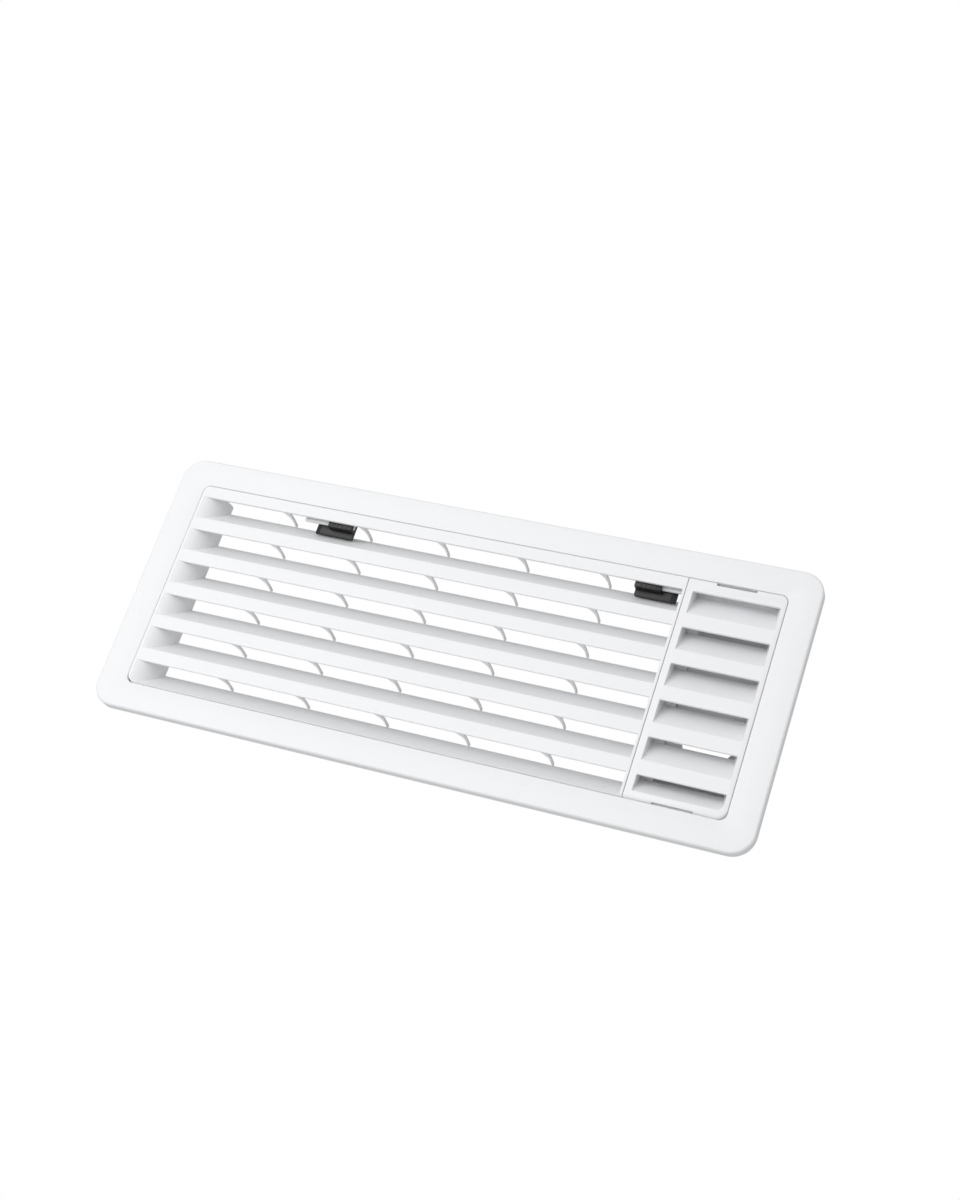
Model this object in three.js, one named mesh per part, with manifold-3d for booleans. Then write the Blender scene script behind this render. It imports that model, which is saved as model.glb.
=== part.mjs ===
// Louvred outside-wall air grille with a lift-off louvre panel, two sliding latches
// and a snap-in flue cover. Millimetres, +Z up, the front faces -Y, +X is to the right
// as seen from the front. The plane y = 0 is the outside of the wall, where the flange
// rests. Most depths below are measured from the front face, into the wall.

import * as THREE from 'three';
import { mergeVertices } from 'three/addons/utils/BufferGeometryUtils.js';
import Module from 'manifold-3d';

const wasm = await Module();
wasm.setup();

// ---- wall frame ----
const width = 453;
const height = 187;
const cornerRadius = 15;
const flangeThickness = 7;
const flangeEdgeRound = 1.5;
const flangeSkin = 2.4;
const sideBorder = 20;
const endBorder = 18.6;
const openingRadius = 5;
const ledgeWidth = 2;
const ledgeDepth = 5;
const spigotWall = 2;
const spigotLength = 10;
const innerRoom = 2;

// ---- louvre panel ----
const gap = 0.3;
const skin = 2.2;
const rimDepth = ledgeDepth - gap;
const topBarHeight = 8.4;
const fasciaHeight = 9.1;
const sillEdge = 0.35;
const slotCount = 6;
const slatDepth = 21;
const slatDrop = 0.6;
const slatSkin = 1.8;
const cheekWidth = 14.7;
const cheekWall = 1.98;
const dividerThickness = 1.8;
const ribThickness = 1.2;
const ribFlare = 5;
const ribFlareDepth = 15;
const outerRib = 66.2;
const innerRibs = 4;
const ribRoomLeft = 8.45;
const ribRoomRight = 20.2;
const ribRise = 0.6;
const ribHeight = 1.6;
const ribLift = 0.2;
const hingeRound = 2;
const swingRadius = 6.5;
const lugWidth = 16;
const lugLength = 2.8;
const lugSpread = 0.62;
const lugRoot = 2;

// ---- flue cover ----
const coverWidth = 64.4;
const coverBorder = 4.7;
const coverRightBorder = 3;
const coverSlatDepth = 12.3;
const coverSlatOverlap = 1.6;
const coverSideWall = 1.4;
const coverSideLean = 4.2;
const coverFloor = 1.76;
const coverFloorLip = 1;
const coverBottomBar = 5.1;
const trayDepth = 3;
const trayTopBar = 4;
const trayBottomBar = 3.3;
const trayRightBar = 2;
const pryNotchWidth = 26;
const pryNotchCentre = 31.3;
const topNotchHeight = 1.9;
const bottomNotchHeight = 1.1;
const tabWidth = 20;
const tabDepth = 7.5;
const topTab = 1.4;
const bottomTab = 1.2;

// ---- latches ----
const latchTravel = 8;
const leftLatchInset = 97.1;
const rightLatchInset = 16.5;
const latchBlockWidth = 17.6;
const boltReach = 10;
const boltThickness = 2.8;
const boltHeight = 11.6;
const boltTop = 4.3;
const blockDrop = 3.3;
const railStep = 0.5;
const railThickness = 2;
const railDrop = 1;
const railReach = 8.9;
const shelfThickness = 1.7;
const keeperWidth = 7;
const keeperDrop = 5.3;

// ---- flue adaptor and baffle ----
const adaptorPlate = 1.8;
const adaptorWall = 2;
const adaptorBox = 16;
const adaptorMargin = 4.4;
const adaptorStandoff = 0.7;
const adaptorTopRoom = 1.5;
const boxInset = 10;
const socketRadius = 22;
const socketWall = 2;
const socketLength = 20;
const socketDrop = 16;
const bafflePlate = 2;
const bafflePostInset = 8;
const bafflePostRise = 1;
const baffleStandoff = 1;
const baffleFoot = 1;
const baffleFootWidth = 12;
const baffleFootLean = 2.5;
const baffleLeanRise = 6;
const baffleStepDrop = 2;
const baffleTopRise = 8;
const postSize = 3.2;

// ---- screws and seal ----
const frameScrew = { radius: 1.75, length: 16, headRadius: 3.25, headHeight: 2 };
const smallScrew = { radius: 0.9, length: 8, headRadius: 2, headHeight: 1.4 };
const lowerPostInset = 8;
const lowerPostRise = 0.8;
const frameScrewDepth = 12;
const frameScrewSpacing = 50;
const sealInset = 5;
const sealWidth = 9;
const arcSteps = 8;

// ---- modelling allowances, which leave no trace on the finished piece ----
// weld: how far two parts of one moulding run into each other before they are joined.
// past: how far a cut runs beyond the surface that it cuts.
const weld = 0.5;
const past = 1;

// ---- places worked out from the sizes above ----
const left = -width / 2;
const right = width / 2;
const top = height / 2;
const bottom = -height / 2;
const openLeft = left + sideBorder;
const openRight = right - sideBorder;
const openTop = top - endBorder;
const openBottom = bottom + endBorder;
const spigotDepth = flangeThickness + spigotLength;

const panelLeft = openLeft + gap;
const panelRight = openRight - gap;
const panelTop = openTop - gap;
const panelBottom = openBottom + gap;
const firstLip = panelTop - topBarHeight;
const slotPitch = (firstLip - panelBottom - sillEdge + fasciaHeight) / slotCount;
const slotHeight = slotPitch - fasciaHeight;
const lips = Array.from({ length: slotCount }, (_, index) => firstLip - index * slotPitch);
const innerTop = openTop - ledgeWidth - innerRoom;
const innerBottom = openBottom + ledgeWidth + 2 * gap;

const coverRight = panelRight;
const coverLeft = coverRight - coverWidth;
const dividerRight = coverLeft - gap;
const dividerLeft = dividerRight - dividerThickness;
const hingeDepth = hingeRound;
const hingeZ = panelBottom + hingeRound;

const pocketLeft = coverLeft + coverBorder;
const pocketRight = coverRight - coverRightBorder;
const windowLeft = pocketLeft - coverSideWall - gap;
const windowRight = panelRight - trayRightBar;
const windowTop = panelTop - trayTopBar;
const windowBottom = panelBottom + trayBottomBar;

const railDepth = ledgeDepth + railStep;
const blockDepth = skin + gap;
const blockBack = railDepth - gap;
const boltDepth = railDepth + railThickness + gap;
const railBottom = firstLip - railDrop;
const adaptorDepth = coverSlatDepth + adaptorStandoff;
const boxDepth = adaptorDepth + adaptorBox;

// ---- shape helpers: every solid is made in world axes ----
function solid(geometry) {
  geometry.deleteAttribute('normal');
  geometry.deleteAttribute('uv');
  const merged = mergeVertices(geometry, 1e-4);
  return new wasm.Manifold(new wasm.Mesh({
    numProp: 3,
    vertProperties: new Float32Array(merged.attributes.position.array),
    triVerts: new Uint32Array(merged.index.array),
  }));
}

function box(x0, x1, depth0, depth1, z0, z1) {
  const geometry = new THREE.BoxGeometry(x1 - x0, depth1 - depth0, z1 - z0);
  geometry.translate((x0 + x1) / 2, (depth0 + depth1) / 2 - flangeThickness, (z0 + z1) / 2);
  return solid(geometry);
}

function outline(points) {
  return new THREE.Shape(points.map(([u, v]) => new THREE.Vector2(u, v)));
}

// A profile of [depth, z] points, drawn out along X.
function alongX(points, x0, x1) {
  const geometry = new THREE.ExtrudeGeometry(outline(points), { depth: x1 - x0, bevelEnabled: false });
  geometry.applyMatrix4(new THREE.Matrix4().set(
    0, 0, 1, x0,
    1, 0, 0, -flangeThickness,
    0, 1, 0, 0,
    0, 0, 0, 1));
  return solid(geometry);
}

// A plan of [x, depth] points, drawn out along Z.
function alongZ(points, z0, z1) {
  const geometry = new THREE.ExtrudeGeometry(outline(points), { depth: z1 - z0, bevelEnabled: false });
  geometry.translate(0, -flangeThickness, z0);
  return solid(geometry);
}

// A front outline in x and z, drawn out from one depth to another.
function inward(shape, depth0, depth1, steps = arcSteps) {
  const geometry = new THREE.ExtrudeGeometry(shape,
    { depth: depth1 - depth0, bevelEnabled: false, curveSegments: steps });
  geometry.rotateX(Math.PI / 2);
  geometry.translate(0, depth1 - flangeThickness, 0);
  return solid(geometry);
}

function roundedRectangle(x0, x1, z0, z1, radius, lowerRadius = radius) {
  const shape = new THREE.Shape();
  shape.absarc(x1 - radius, z1 - radius, radius, 0, Math.PI / 2);
  shape.absarc(x0 + radius, z1 - radius, radius, Math.PI / 2, Math.PI);
  shape.absarc(x0 + lowerRadius, z0 + lowerRadius, lowerRadius, Math.PI, Math.PI * 1.5);
  shape.absarc(x1 - lowerRadius, z0 + lowerRadius, lowerRadius, Math.PI * 1.5, Math.PI * 2);
  shape.closePath();
  return shape;
}

// The outside rectangle of the flange, moved in by an inset.
function flangeOutline(inset) {
  return roundedRectangle(left + inset, right - inset, bottom + inset, top - inset,
    cornerRadius - inset);
}

function openingOutline(inset) {
  return roundedRectangle(openLeft + inset, openRight - inset, openBottom + inset, openTop - inset,
    openingRadius - Math.min(inset, openingRadius - 1));
}

function ring(outer, inner, depth0, depth1) {
  return inward(outer, depth0, depth1).subtract(inward(inner, depth0 - past, depth1 + past));
}

// A pan-head screw on the Y axis, before it is placed: the head's underside is at y = 0 and
// the point is at y = -length.
function screw({ radius, length, headRadius, headHeight }, place) {
  const geometry = new THREE.LatheGeometry([
    new THREE.Vector2(0, -length),
    new THREE.Vector2(radius, radius - length),
    new THREE.Vector2(radius, 0),
    new THREE.Vector2(headRadius, 0),
    new THREE.Vector2(headRadius, headHeight * 0.55),
    new THREE.Vector2(headRadius * 0.6, headHeight),
    new THREE.Vector2(0, headHeight),
  ], 16);
  return solid(geometry.applyMatrix4(place));
}

function drill(radius, depth0, depth1, x, z) {
  const geometry = new THREE.CylinderGeometry(radius, radius, depth1 - depth0, 32);
  geometry.translate(x, (depth0 + depth1) / 2 - flangeThickness, z);
  return solid(geometry);
}

function sideDrill(radius, x0, x1, depth, z) {
  const geometry = new THREE.CylinderGeometry(radius, radius, x1 - x0, 16);
  geometry.rotateZ(Math.PI / 2);
  geometry.translate((x0 + x1) / 2, depth - flangeThickness, z);
  return solid(geometry);
}

function joined(pieces) {
  return pieces.reduce((whole, piece) => whole.add(piece));
}

// ---- where latches, keepers, lugs and screws stand ----
// side is -1 for the left latch and +1 for the right one; a latch locks away from the middle.
const latches = [
  { name: 'left_latch', side: -1, inner: panelLeft + leftLatchInset + latchBlockWidth },
  { name: 'right_latch', side: 1, inner: dividerRight - rightLatchInset - latchBlockWidth + 2 * gap },
];

function spanX(from, reach, side) {
  return side > 0 ? [from, from + reach] : [from - reach, from];
}

function keeperSpan({ inner, side }) {
  const start = inner + side * (latchBlockWidth + boltReach + 2 * gap);
  return spanX(start, keeperWidth, side);
}

// One rib stands left of the left latch, and the others are spaced evenly between the latches.
const firstInnerRib = latches[0].inner + ribRoomLeft;
const lastInnerRib = latches[1].inner - ribRoomRight;
const ribPitch = (lastInnerRib - firstInnerRib) / (innerRibs - 1);
const ribPlaces = [panelLeft + outerRib,
  ...Array.from({ length: innerRibs }, (_, index) => firstInnerRib + index * ribPitch)];

const lugCentres = [-1, 1].map((side) => side * lugSpread * (openRight - openLeft) / 2);
const frameScrewHeights = [-1, 0, 1].map((step) => step * frameScrewSpacing);
const adaptorScrewPlaces = [
  [dividerRight + postSize / 2, lips[1] + fasciaHeight / 2],
  [dividerRight + postSize / 2, lips[4] + fasciaHeight / 2],
  [pocketRight - lowerPostInset, windowBottom + lowerPostRise],
];

// ---- wall frame: flange, ledge, spigot, latch keepers and drain slots for the lugs ----
function wallFrame() {
  const flange = new THREE.ExtrudeGeometry(flangeOutline(flangeEdgeRound), {
    depth: flangeThickness,
    bevelThickness: flangeEdgeRound,
    bevelSize: flangeEdgeRound,
    bevelSegments: 3,
    curveSegments: arcSteps,
  });
  flange.rotateX(Math.PI / 2);
  flange.translate(0, flangeEdgeRound, 0);
  const reach = width + height;
  let frame = solid(flange).intersect(box(-reach, reach, -1, flangeThickness, -reach, reach));
  frame = frame.subtract(ring(flangeOutline(flangeSkin), openingOutline(-flangeSkin),
    flangeSkin, flangeThickness + 1));
  frame = frame.subtract(inward(openingOutline(0), -past, ledgeDepth));
  frame = frame.add(inward(openingOutline(0), ledgeDepth, spigotDepth));
  frame = frame.subtract(inward(openingOutline(ledgeWidth), ledgeDepth - past, spigotDepth + past));
  for (const latch of latches) {
    const [x0, x1] = keeperSpan(latch);
    const keeperTop = openTop - ledgeWidth;
    frame = frame.add(box(x0, x1, railDepth - gap, boltDepth - gap, keeperTop - keeperDrop,
      keeperTop + weld));
  }
  const swing = Math.hypot(rimDepth - gap - hingeDepth, hingeRound + lugLength);
  for (const centre of lugCentres) {
    const half = lugWidth / 2 + 2 * gap;
    frame = frame.subtract(box(centre - half, centre + half, hingeDepth + gap / 3, flangeThickness + past,
      hingeZ - swing - 2 * gap, openBottom + 2 * ledgeWidth));
  }
  const bore = frameScrew.radius + gap;
  for (const inner of [openLeft, openRight - ledgeWidth]) {
    for (const z of frameScrewHeights) {
      frame = frame.subtract(sideDrill(bore, inner - past, inner + ledgeWidth + past, frameScrewDepth, z));
    }
  }
  return frame;
}

// ---- louvre panel ----
// The panel's lower edge is rounded about the hinge line, so that it can swing: in front to
// clear the flange, and behind to clear the ledge. facing is -1 for the front and +1 behind.
function hingeRelief(x0, x1, facing) {
  const round = facing < 0 ? hingeRound : ledgeDepth - gap - hingeDepth;
  const away = hingeDepth + facing * (round + 1);
  const below = Math.min(panelBottom, hingeZ - round) - past;
  const points = [[away, hingeZ], [away, below], [hingeDepth, below]];
  for (let step = 0; step <= arcSteps; step += 1) {
    const angle = (Math.PI / 2) * (step / arcSteps);
    points.push([hingeDepth + facing * round * Math.sin(angle), hingeZ - round * Math.cos(angle)]);
  }
  return alongX(facing < 0 ? points : points.reverse(), x0, x1);
}

// Everything inside the panel's outline. Its lower corners are rounder than the opening's,
// so that they don't rub as the panel swings.
function swingOutline(x0) {
  const shape = roundedRectangle(x0, panelRight, panelBottom, panelTop, openingRadius - gap, swingRadius);
  return inward(shape, -past, slatDepth + past);
}

// One slat: a slope that rises into the wall, and below its front edge an upright fascia.
function slatProfile(lip, depth, rise, fascia) {
  const front = lip - slotHeight;
  const inner = front + rise;
  const thickness = slatSkin * Math.hypot(1, rise / depth);
  return [
    [0, front],
    [0, front - fascia],
    [slatSkin, front - fascia],
    [slatSkin, Math.max(front + rise * (slatSkin / depth) - thickness, front - fascia + gap)],
    [depth, inner - thickness],
    [depth, inner],
  ];
}

// The left end of every slot is closed by one wall that rolls over from the front face.
function cheekPlan(inset) {
  const points = [];
  for (let step = 0; step <= arcSteps; step += 1) {
    const angle = (Math.PI / 2) * (step / arcSteps);
    points.push([
      panelLeft + (cheekWidth - inset) * Math.sin(angle),
      slatDepth - (slatDepth - inset) * Math.cos(angle),
    ]);
  }
  return points;
}

// A tie between two slats: a thin arched strip from the upper lip to the slat's inner edge.
function ribProfile(lip) {
  const low = [];
  const high = [];
  for (let step = 0; step <= arcSteps; step += 1) {
    const share = step / arcSteps;
    const depth = slatSkin / 2 + (slatDepth - slatSkin / 2) * share;
    const z = lip + ribLift + ribRise * Math.sin(Math.PI * share) - (slatDrop + 2 * ribLift) * share;
    low.push([depth, z]);
    high.unshift([depth, z + ribHeight]);
  }
  return [...low, ...high];
}

// The tie's plan: it flares to the left where it springs from the lip.
function ribPlan(x) {
  const points = [[x + ribThickness / 2, slatDepth], [x + ribThickness / 2, 0]];
  for (let step = 0; step <= arcSteps; step += 1) {
    const share = step / arcSteps;
    points.push([x - ribThickness / 2 - ribFlare * (1 - share) ** 2, ribFlareDepth * share]);
  }
  points.push([x - ribThickness / 2, slatDepth]);
  return points;
}

function latchRail({ inner, side }) {
  const [x0, x1] = spanX(inner, latchBlockWidth + boltReach + railReach, side);
  const end = side > 0 ? Math.min(x1, dividerLeft + dividerThickness / 2) : x1;
  const start = side > 0 ? x0 : Math.max(x0, panelLeft + cheekWidth);
  const shelfTop = openTop - ledgeWidth - gap;
  const rail = box(start, end, railDepth, railDepth + railThickness, railBottom, shelfTop);
  return rail.add(box(start, end, skin / 2, railDepth + railThickness / 2, shelfTop - shelfThickness,
    shelfTop));
}

// Room for the frame's keeper, and for the bolt as it slides past the divider.
function keeperRoom(latch) {
  const [x0, x1] = keeperSpan(latch);
  const keeperTop = openTop - ledgeWidth;
  const room = box(x0 - gap, x1 + gap, ledgeDepth - gap / 2, boltDepth, keeperTop - keeperDrop - gap,
    keeperTop + 1);
  const boltTopZ = firstLip + boltTop;
  const path = spanX(latch.inner - latch.side * gap,
    latchBlockWidth + boltReach + latchTravel + 3 * gap, latch.side);
  return room.add(box(path[0], path[1], boltDepth - gap, boltDepth + boltThickness + gap,
    boltTopZ - boltHeight - gap, boltTopZ + gap));
}

function louvrePanel() {
  const pieces = [];
  const slopeRise = slotHeight - slatDrop;
  for (const lip of lips.slice(0, -1)) {
    pieces.push(alongX(slatProfile(lip, slatDepth, slopeRise, fasciaHeight), panelLeft, dividerRight));
  }
  const sill = slatProfile(lips[slotCount - 1], slatDepth, slopeRise, sillEdge);
  const [sillFront, sillBack] = [sill[0][1], sill[4][1]];
  const clearOfSpigot = slatDepth * (1 - (sillBack - innerBottom) / slopeRise);
  pieces.push(alongX([[0, sillFront], [0, panelBottom], [rimDepth, panelBottom], [rimDepth, innerBottom],
    [clearOfSpigot, innerBottom], sill[4], sill[5]], panelLeft, dividerRight));
  const slatEnd = dividerLeft + dividerThickness / 3;
  const envelope = alongZ([...cheekPlan(skin / 2), [slatEnd, slatDepth], [slatEnd, 0],
    [panelLeft, 0]], panelBottom, panelTop);
  let panel = joined(pieces).intersect(envelope);

  const cheek = alongZ([...cheekPlan(0), ...cheekPlan(cheekWall).reverse()], innerBottom, innerTop);
  const shallow = box(panelLeft, dividerRight, -past, rimDepth, panelBottom, panelTop);
  const fullCheek = alongZ([...cheekPlan(0), ...cheekPlan(cheekWall).reverse()], panelBottom, panelTop);
  panel = panel.add(cheek).add(fullCheek.intersect(shallow));
  panel = panel.add(box(panelLeft, panelLeft + skin, 0, rimDepth, panelBottom, panelTop));
  panel = panel.add(box(dividerLeft, dividerRight, 0, rimDepth, panelBottom, panelTop));
  panel = panel.add(box(dividerLeft, dividerRight, 0, adaptorDepth - gap, innerBottom, innerTop));
  panel = panel.add(alongX([[0, panelTop], [0, firstLip], [skin, firstLip], [skin, panelTop - skin],
    [rimDepth, panelTop - skin], [rimDepth, panelTop]], panelLeft, dividerRight));

  for (const x of ribPlaces) {
    for (const lip of lips) {
      const strip = alongX(ribProfile(lip), x - ribFlare - ribThickness, x + ribThickness);
      panel = panel.add(strip.intersect(alongZ(ribPlan(x), lip - ribHeight, lip + 2 * ribHeight)));
    }
  }

  const tray = box(dividerRight - weld, panelRight, trayDepth, rimDepth, panelBottom, panelTop)
    .subtract(box(windowLeft, windowRight, trayDepth - past, rimDepth + past, windowBottom, windowTop));
  panel = panel.add(tray);
  for (const [x, z] of adaptorScrewPlaces) {
    const half = postSize / 2;
    panel = panel.add(box(x - half, x + half, trayDepth + gap, adaptorDepth - gap, z - half, z + half));
    panel = panel.subtract(drill(smallScrew.radius + gap / 2, adaptorDepth - smallScrew.length,
      adaptorDepth + 1, x, z));
  }
  const lowestPocket = pocketSpan(lips[slotCount - 1], slotCount - 1);
  panel = panel.subtract(alongX(pocketFloor(lowestPocket, gap), pocketLeft - weld, pocketRight + weld));
  for (const latch of latches) {
    panel = panel.add(latchRail(latch)).subtract(keeperRoom(latch));
  }
  panel = panel.subtract(hingeRelief(left, right, 1));
  for (const centre of lugCentres) {
    panel = panel.add(box(centre - lugWidth / 2, centre + lugWidth / 2, hingeDepth + 2 * gap,
      rimDepth - gap, panelBottom - lugLength, panelBottom + lugRoot));
  }
  panel = panel.subtract(pryNotch());
  const corners = swingOutline(panelLeft).add(
    box(panelLeft + swingRadius, panelRight - swingRadius, -past, slatDepth + past,
      panelBottom - 2 * lugLength, panelBottom + 1));
  return panel.intersect(corners).subtract(hingeRelief(left, right, -1));
}

// ---- flue cover: a small louvre of its own, pushed into the panel's right-hand end ----
function pryNotch() {
  const x = coverLeft + pryNotchCentre;
  const half = pryNotchWidth / 2;
  return box(x - half, x + half, -past, rimDepth + past, panelTop - topNotchHeight, panelTop + past);
}

// A pocket's opening through the front skin, as [front edge of its floor, upper lip].
function pocketSpan(lip, index) {
  const last = index === slotCount - 1;
  return [last ? panelBottom + coverBottomBar : lip - slotHeight, lip];
}

// The section of a pocket's sloping floor, let down by a drop where something makes room for it.
function pocketFloor([floorFront, lip], drop = 0) {
  const rise = lip + coverSlatOverlap - floorFront;
  const thickness = coverFloor * Math.hypot(1, rise / coverSlatDepth);
  return [[0, floorFront], [coverSlatDepth, floorFront + rise],
    [coverSlatDepth, floorFront + rise - thickness - drop],
    [skin / 2, floorFront - coverFloorLip - drop], [0, floorFront - coverFloorLip - drop]];
}

function flueCover() {
  const sideWall = (x0, x1, lean) => alongZ([[x0, 0], [x1, 0], [x1 - lean, coverSlatDepth],
    [x0 - lean, coverSlatDepth]], windowBottom + gap, windowTop - gap);
  let cover = box(coverLeft, coverRight, 0, skin, panelBottom, panelTop)
    .add(sideWall(pocketLeft - coverSideWall, pocketLeft, 0))
    .add(sideWall(pocketRight, pocketRight + coverSideWall, coverSideLean));
  const inside = alongZ([[pocketLeft - weld, -past], [pocketRight + weld, -past],
    [pocketRight + weld, 0], [pocketRight + weld - coverSideLean, coverSlatDepth],
    [pocketLeft - weld, coverSlatDepth]], panelBottom, panelTop);
  const mouth = alongZ([[pocketLeft, -past], [pocketRight, -past], [pocketRight, 0],
    [pocketRight - coverSideLean, coverSlatDepth + past], [pocketLeft, coverSlatDepth + past]],
  panelBottom, panelTop);
  const pockets = lips.map(pocketSpan);
  for (const [floorFront, lip] of pockets) {
    cover = cover.subtract(mouth.intersect(box(coverLeft, coverRight, -past, skin + past, floorFront, lip)));
  }
  for (const pocket of pockets) {
    cover = cover.add(alongX(pocketFloor(pocket), coverLeft, coverRight).intersect(inside));
  }
  const tabX = coverLeft + pryNotchCentre;
  const [tabLeft, tabRight] = [tabX - tabWidth / 2, tabX + tabWidth / 2];
  cover = cover
    .add(box(tabLeft, tabRight, skin / 2, tabDepth, windowTop - gap - topTab, windowTop - gap))
    .add(box(tabLeft, tabRight, skin / 2, tabDepth, windowBottom + gap, windowBottom + gap + bottomTab));
  const bottomNotch = box(tabX - pryNotchWidth / 2, tabX + pryNotchWidth / 2, -past, skin + past,
    panelBottom - past, panelBottom + bottomNotchHeight);
  return cover.subtract(pryNotch()).subtract(bottomNotch)
    .intersect(swingOutline(coverLeft - 2 * swingRadius))
    .subtract(hingeRelief(coverLeft - past, coverRight + past, -1));
}

// ---- sliding latch: thumb block in front of the rail, bolt behind it, joined under it ----
function slidingLatch({ inner, side }) {
  const [blockLeft, blockRight] = spanX(inner, latchBlockWidth, side);
  const [boltLeft, boltRight] = spanX(inner, latchBlockWidth + boltReach, side);
  const boltTopZ = firstLip + boltTop;
  const blockBottom = firstLip - blockDrop;
  const block = box(blockLeft, blockRight, blockDepth, blockBack, blockBottom, firstLip + blockDrop);
  const bridge = box(blockLeft, blockRight, blockBack - weld, boltDepth + weld, blockBottom,
    railBottom - gap);
  const bolt = box(boltLeft, boltRight, boltDepth, boltDepth + boltThickness,
    boltTopZ - boltHeight, boltTopZ);
  return joined([block, bridge, bolt]);
}

// ---- flue adaptor behind the cover, and the baffle plate inside it ----
const socketX = (pocketLeft + pocketRight) / 2;
const socketZ = -socketDrop;
const plateLeft = dividerRight + gap;
const plateRight = panelRight - adaptorMargin;
const plateTop = openTop - ledgeWidth - adaptorTopRoom;
const plateBottom = innerBottom + gap;
const boxLeft = plateLeft + boxInset;
const boxTop = plateTop - boxInset;
const boxBottom = plateBottom + boxInset;
const bafflePosts = [boxLeft + bafflePostInset, plateRight - bafflePostInset]
  .map((x) => [x, lips[2] + bafflePostRise]);

function flueAdaptor() {
  let adaptor = box(plateLeft, plateRight, adaptorDepth, adaptorDepth + adaptorPlate, plateBottom, plateTop);
  adaptor = adaptor.add(box(boxLeft, plateRight, adaptorDepth, boxDepth, boxBottom, boxTop));
  adaptor = adaptor.add(drill(socketRadius, boxDepth - past, boxDepth + socketLength, socketX, socketZ));
  adaptor = adaptor.subtract(box(boxLeft + adaptorWall, plateRight - adaptorWall, adaptorDepth - past,
    boxDepth - adaptorWall, boxBottom + adaptorWall, boxTop - adaptorWall));
  adaptor = adaptor.subtract(drill(socketRadius - socketWall, boxDepth - 2 * adaptorWall,
    boxDepth + socketLength + 1, socketX, socketZ));
  for (const [x, z] of adaptorScrewPlaces) {
    adaptor = adaptor.subtract(drill(smallScrew.radius + gap, adaptorDepth - past,
      adaptorDepth + adaptorPlate + 1, x, z));
  }
  for (const [x, z] of bafflePosts) {
    adaptor = adaptor.subtract(drill(smallScrew.radius + gap, boxDepth - adaptorWall - past,
      boxDepth + past, x, z));
  }
  return adaptor;
}

// The plate backs the third and fourth pockets right across. Its foot, which ends in a slant,
// backs only the left part of the fifth.
function flueBaffle() {
  const front = adaptorDepth + adaptorPlate + baffleStandoff;
  const plateEdge = boxLeft + adaptorWall + gap;
  const farEdge = plateRight - adaptorWall - gap;
  const stepEdge = plateEdge + baffleFootWidth - baffleFootLean;
  const shape = outline([
    [plateEdge, lips[4] - baffleFoot],
    [plateEdge + baffleFootWidth, lips[4] - baffleFoot],
    [stepEdge, lips[4] + baffleLeanRise],
    [stepEdge, lips[3] - baffleStepDrop],
    [farEdge, lips[3] - baffleStepDrop],
    [farEdge, lips[2] + baffleTopRise],
    [plateEdge, lips[2] + baffleTopRise],
  ]);
  let baffle = inward(shape, front, front + bafflePlate);
  const half = postSize / 2;
  for (const [x, z] of bafflePosts) {
    const post = box(x - half, x + half, front, boxDepth - adaptorWall - gap, z - half, z + half);
    baffle = baffle.add(post)
      .subtract(drill(smallScrew.radius + gap / 2, boxDepth - smallScrew.length, boxDepth, x, z));
  }
  return baffle;
}

// ---- placing screws: the shank points along the given direction from the head's underside ----
function sideScrewPlace(side, z) {
  const x = (side > 0 ? openRight - ledgeWidth : openLeft + ledgeWidth) - side * gap;
  return new THREE.Matrix4().makeTranslation(x, frameScrewDepth - flangeThickness, z)
    .multiply(new THREE.Matrix4().makeRotationZ(side * Math.PI / 2));
}

function backScrewPlace(depth, x, z) {
  return new THREE.Matrix4().makeTranslation(x, depth - flangeThickness, z);
}

// ---- materials ----
const finish = {
  white: { color: 0xf3f4f6, roughness: 0.42, metalness: 0 },
  cover: { color: 0xf4f5f7, roughness: 0.4, metalness: 0 },
  adaptor: { color: 0xe4e5e6, roughness: 0.55, metalness: 0 },
  black: { color: 0x0d0d0e, roughness: 0.45, metalness: 0 },
  foam: { color: 0x2b2c2e, roughness: 0.95, metalness: 0 },
  steel: { color: 0xa8abae, roughness: 0.35, metalness: 1 },
};

const grille = new THREE.Group();

function addPart(name, manifold, look) {
  const { vertProperties, triVerts } = manifold.getMesh();
  const geometry = new THREE.BufferGeometry();
  geometry.setAttribute('position', new THREE.BufferAttribute(new Float32Array(vertProperties), 3));
  geometry.setIndex(new THREE.BufferAttribute(new Uint32Array(triVerts), 1));
  geometry.computeVertexNormals();
  const mesh = new THREE.Mesh(geometry, new THREE.MeshStandardMaterial(look));
  mesh.name = name;
  grille.add(mesh);
}

// ---- assembly ----
addPart('wall_frame', wallFrame(), finish.white);
addPart('sealing_strip', ring(flangeOutline(sealInset), flangeOutline(sealInset + sealWidth),
  flangeSkin + gap, flangeThickness), finish.foam);
[-1, 1].forEach((side) => {
  frameScrewHeights.forEach((z, index) => {
    const number = index + 1 + (side > 0 ? frameScrewHeights.length : 0);
    addPart(`frame_screw_${number}`, screw(frameScrew, sideScrewPlace(side, z)), finish.steel);
  });
});

addPart('louvre_panel', louvrePanel(), finish.white);
for (const latch of latches) {
  addPart(latch.name, slidingLatch(latch), finish.black);
}

addPart('flue_cover', flueCover(), finish.cover);
addPart('flue_adaptor', flueAdaptor(), finish.adaptor);
addPart('flue_baffle', flueBaffle(), finish.adaptor);
adaptorScrewPlaces.forEach(([x, z], index) => {
  const place = backScrewPlace(adaptorDepth + adaptorPlate + gap, x, z);
  addPart(`adaptor_screw_${index + 1}`, screw(smallScrew, place), finish.steel);
});
bafflePosts.forEach(([x, z], index) => {
  addPart(`baffle_screw_${index + 1}`, screw(smallScrew, backScrewPlace(boxDepth + gap, x, z)), finish.steel);
});

export default grille;
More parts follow.
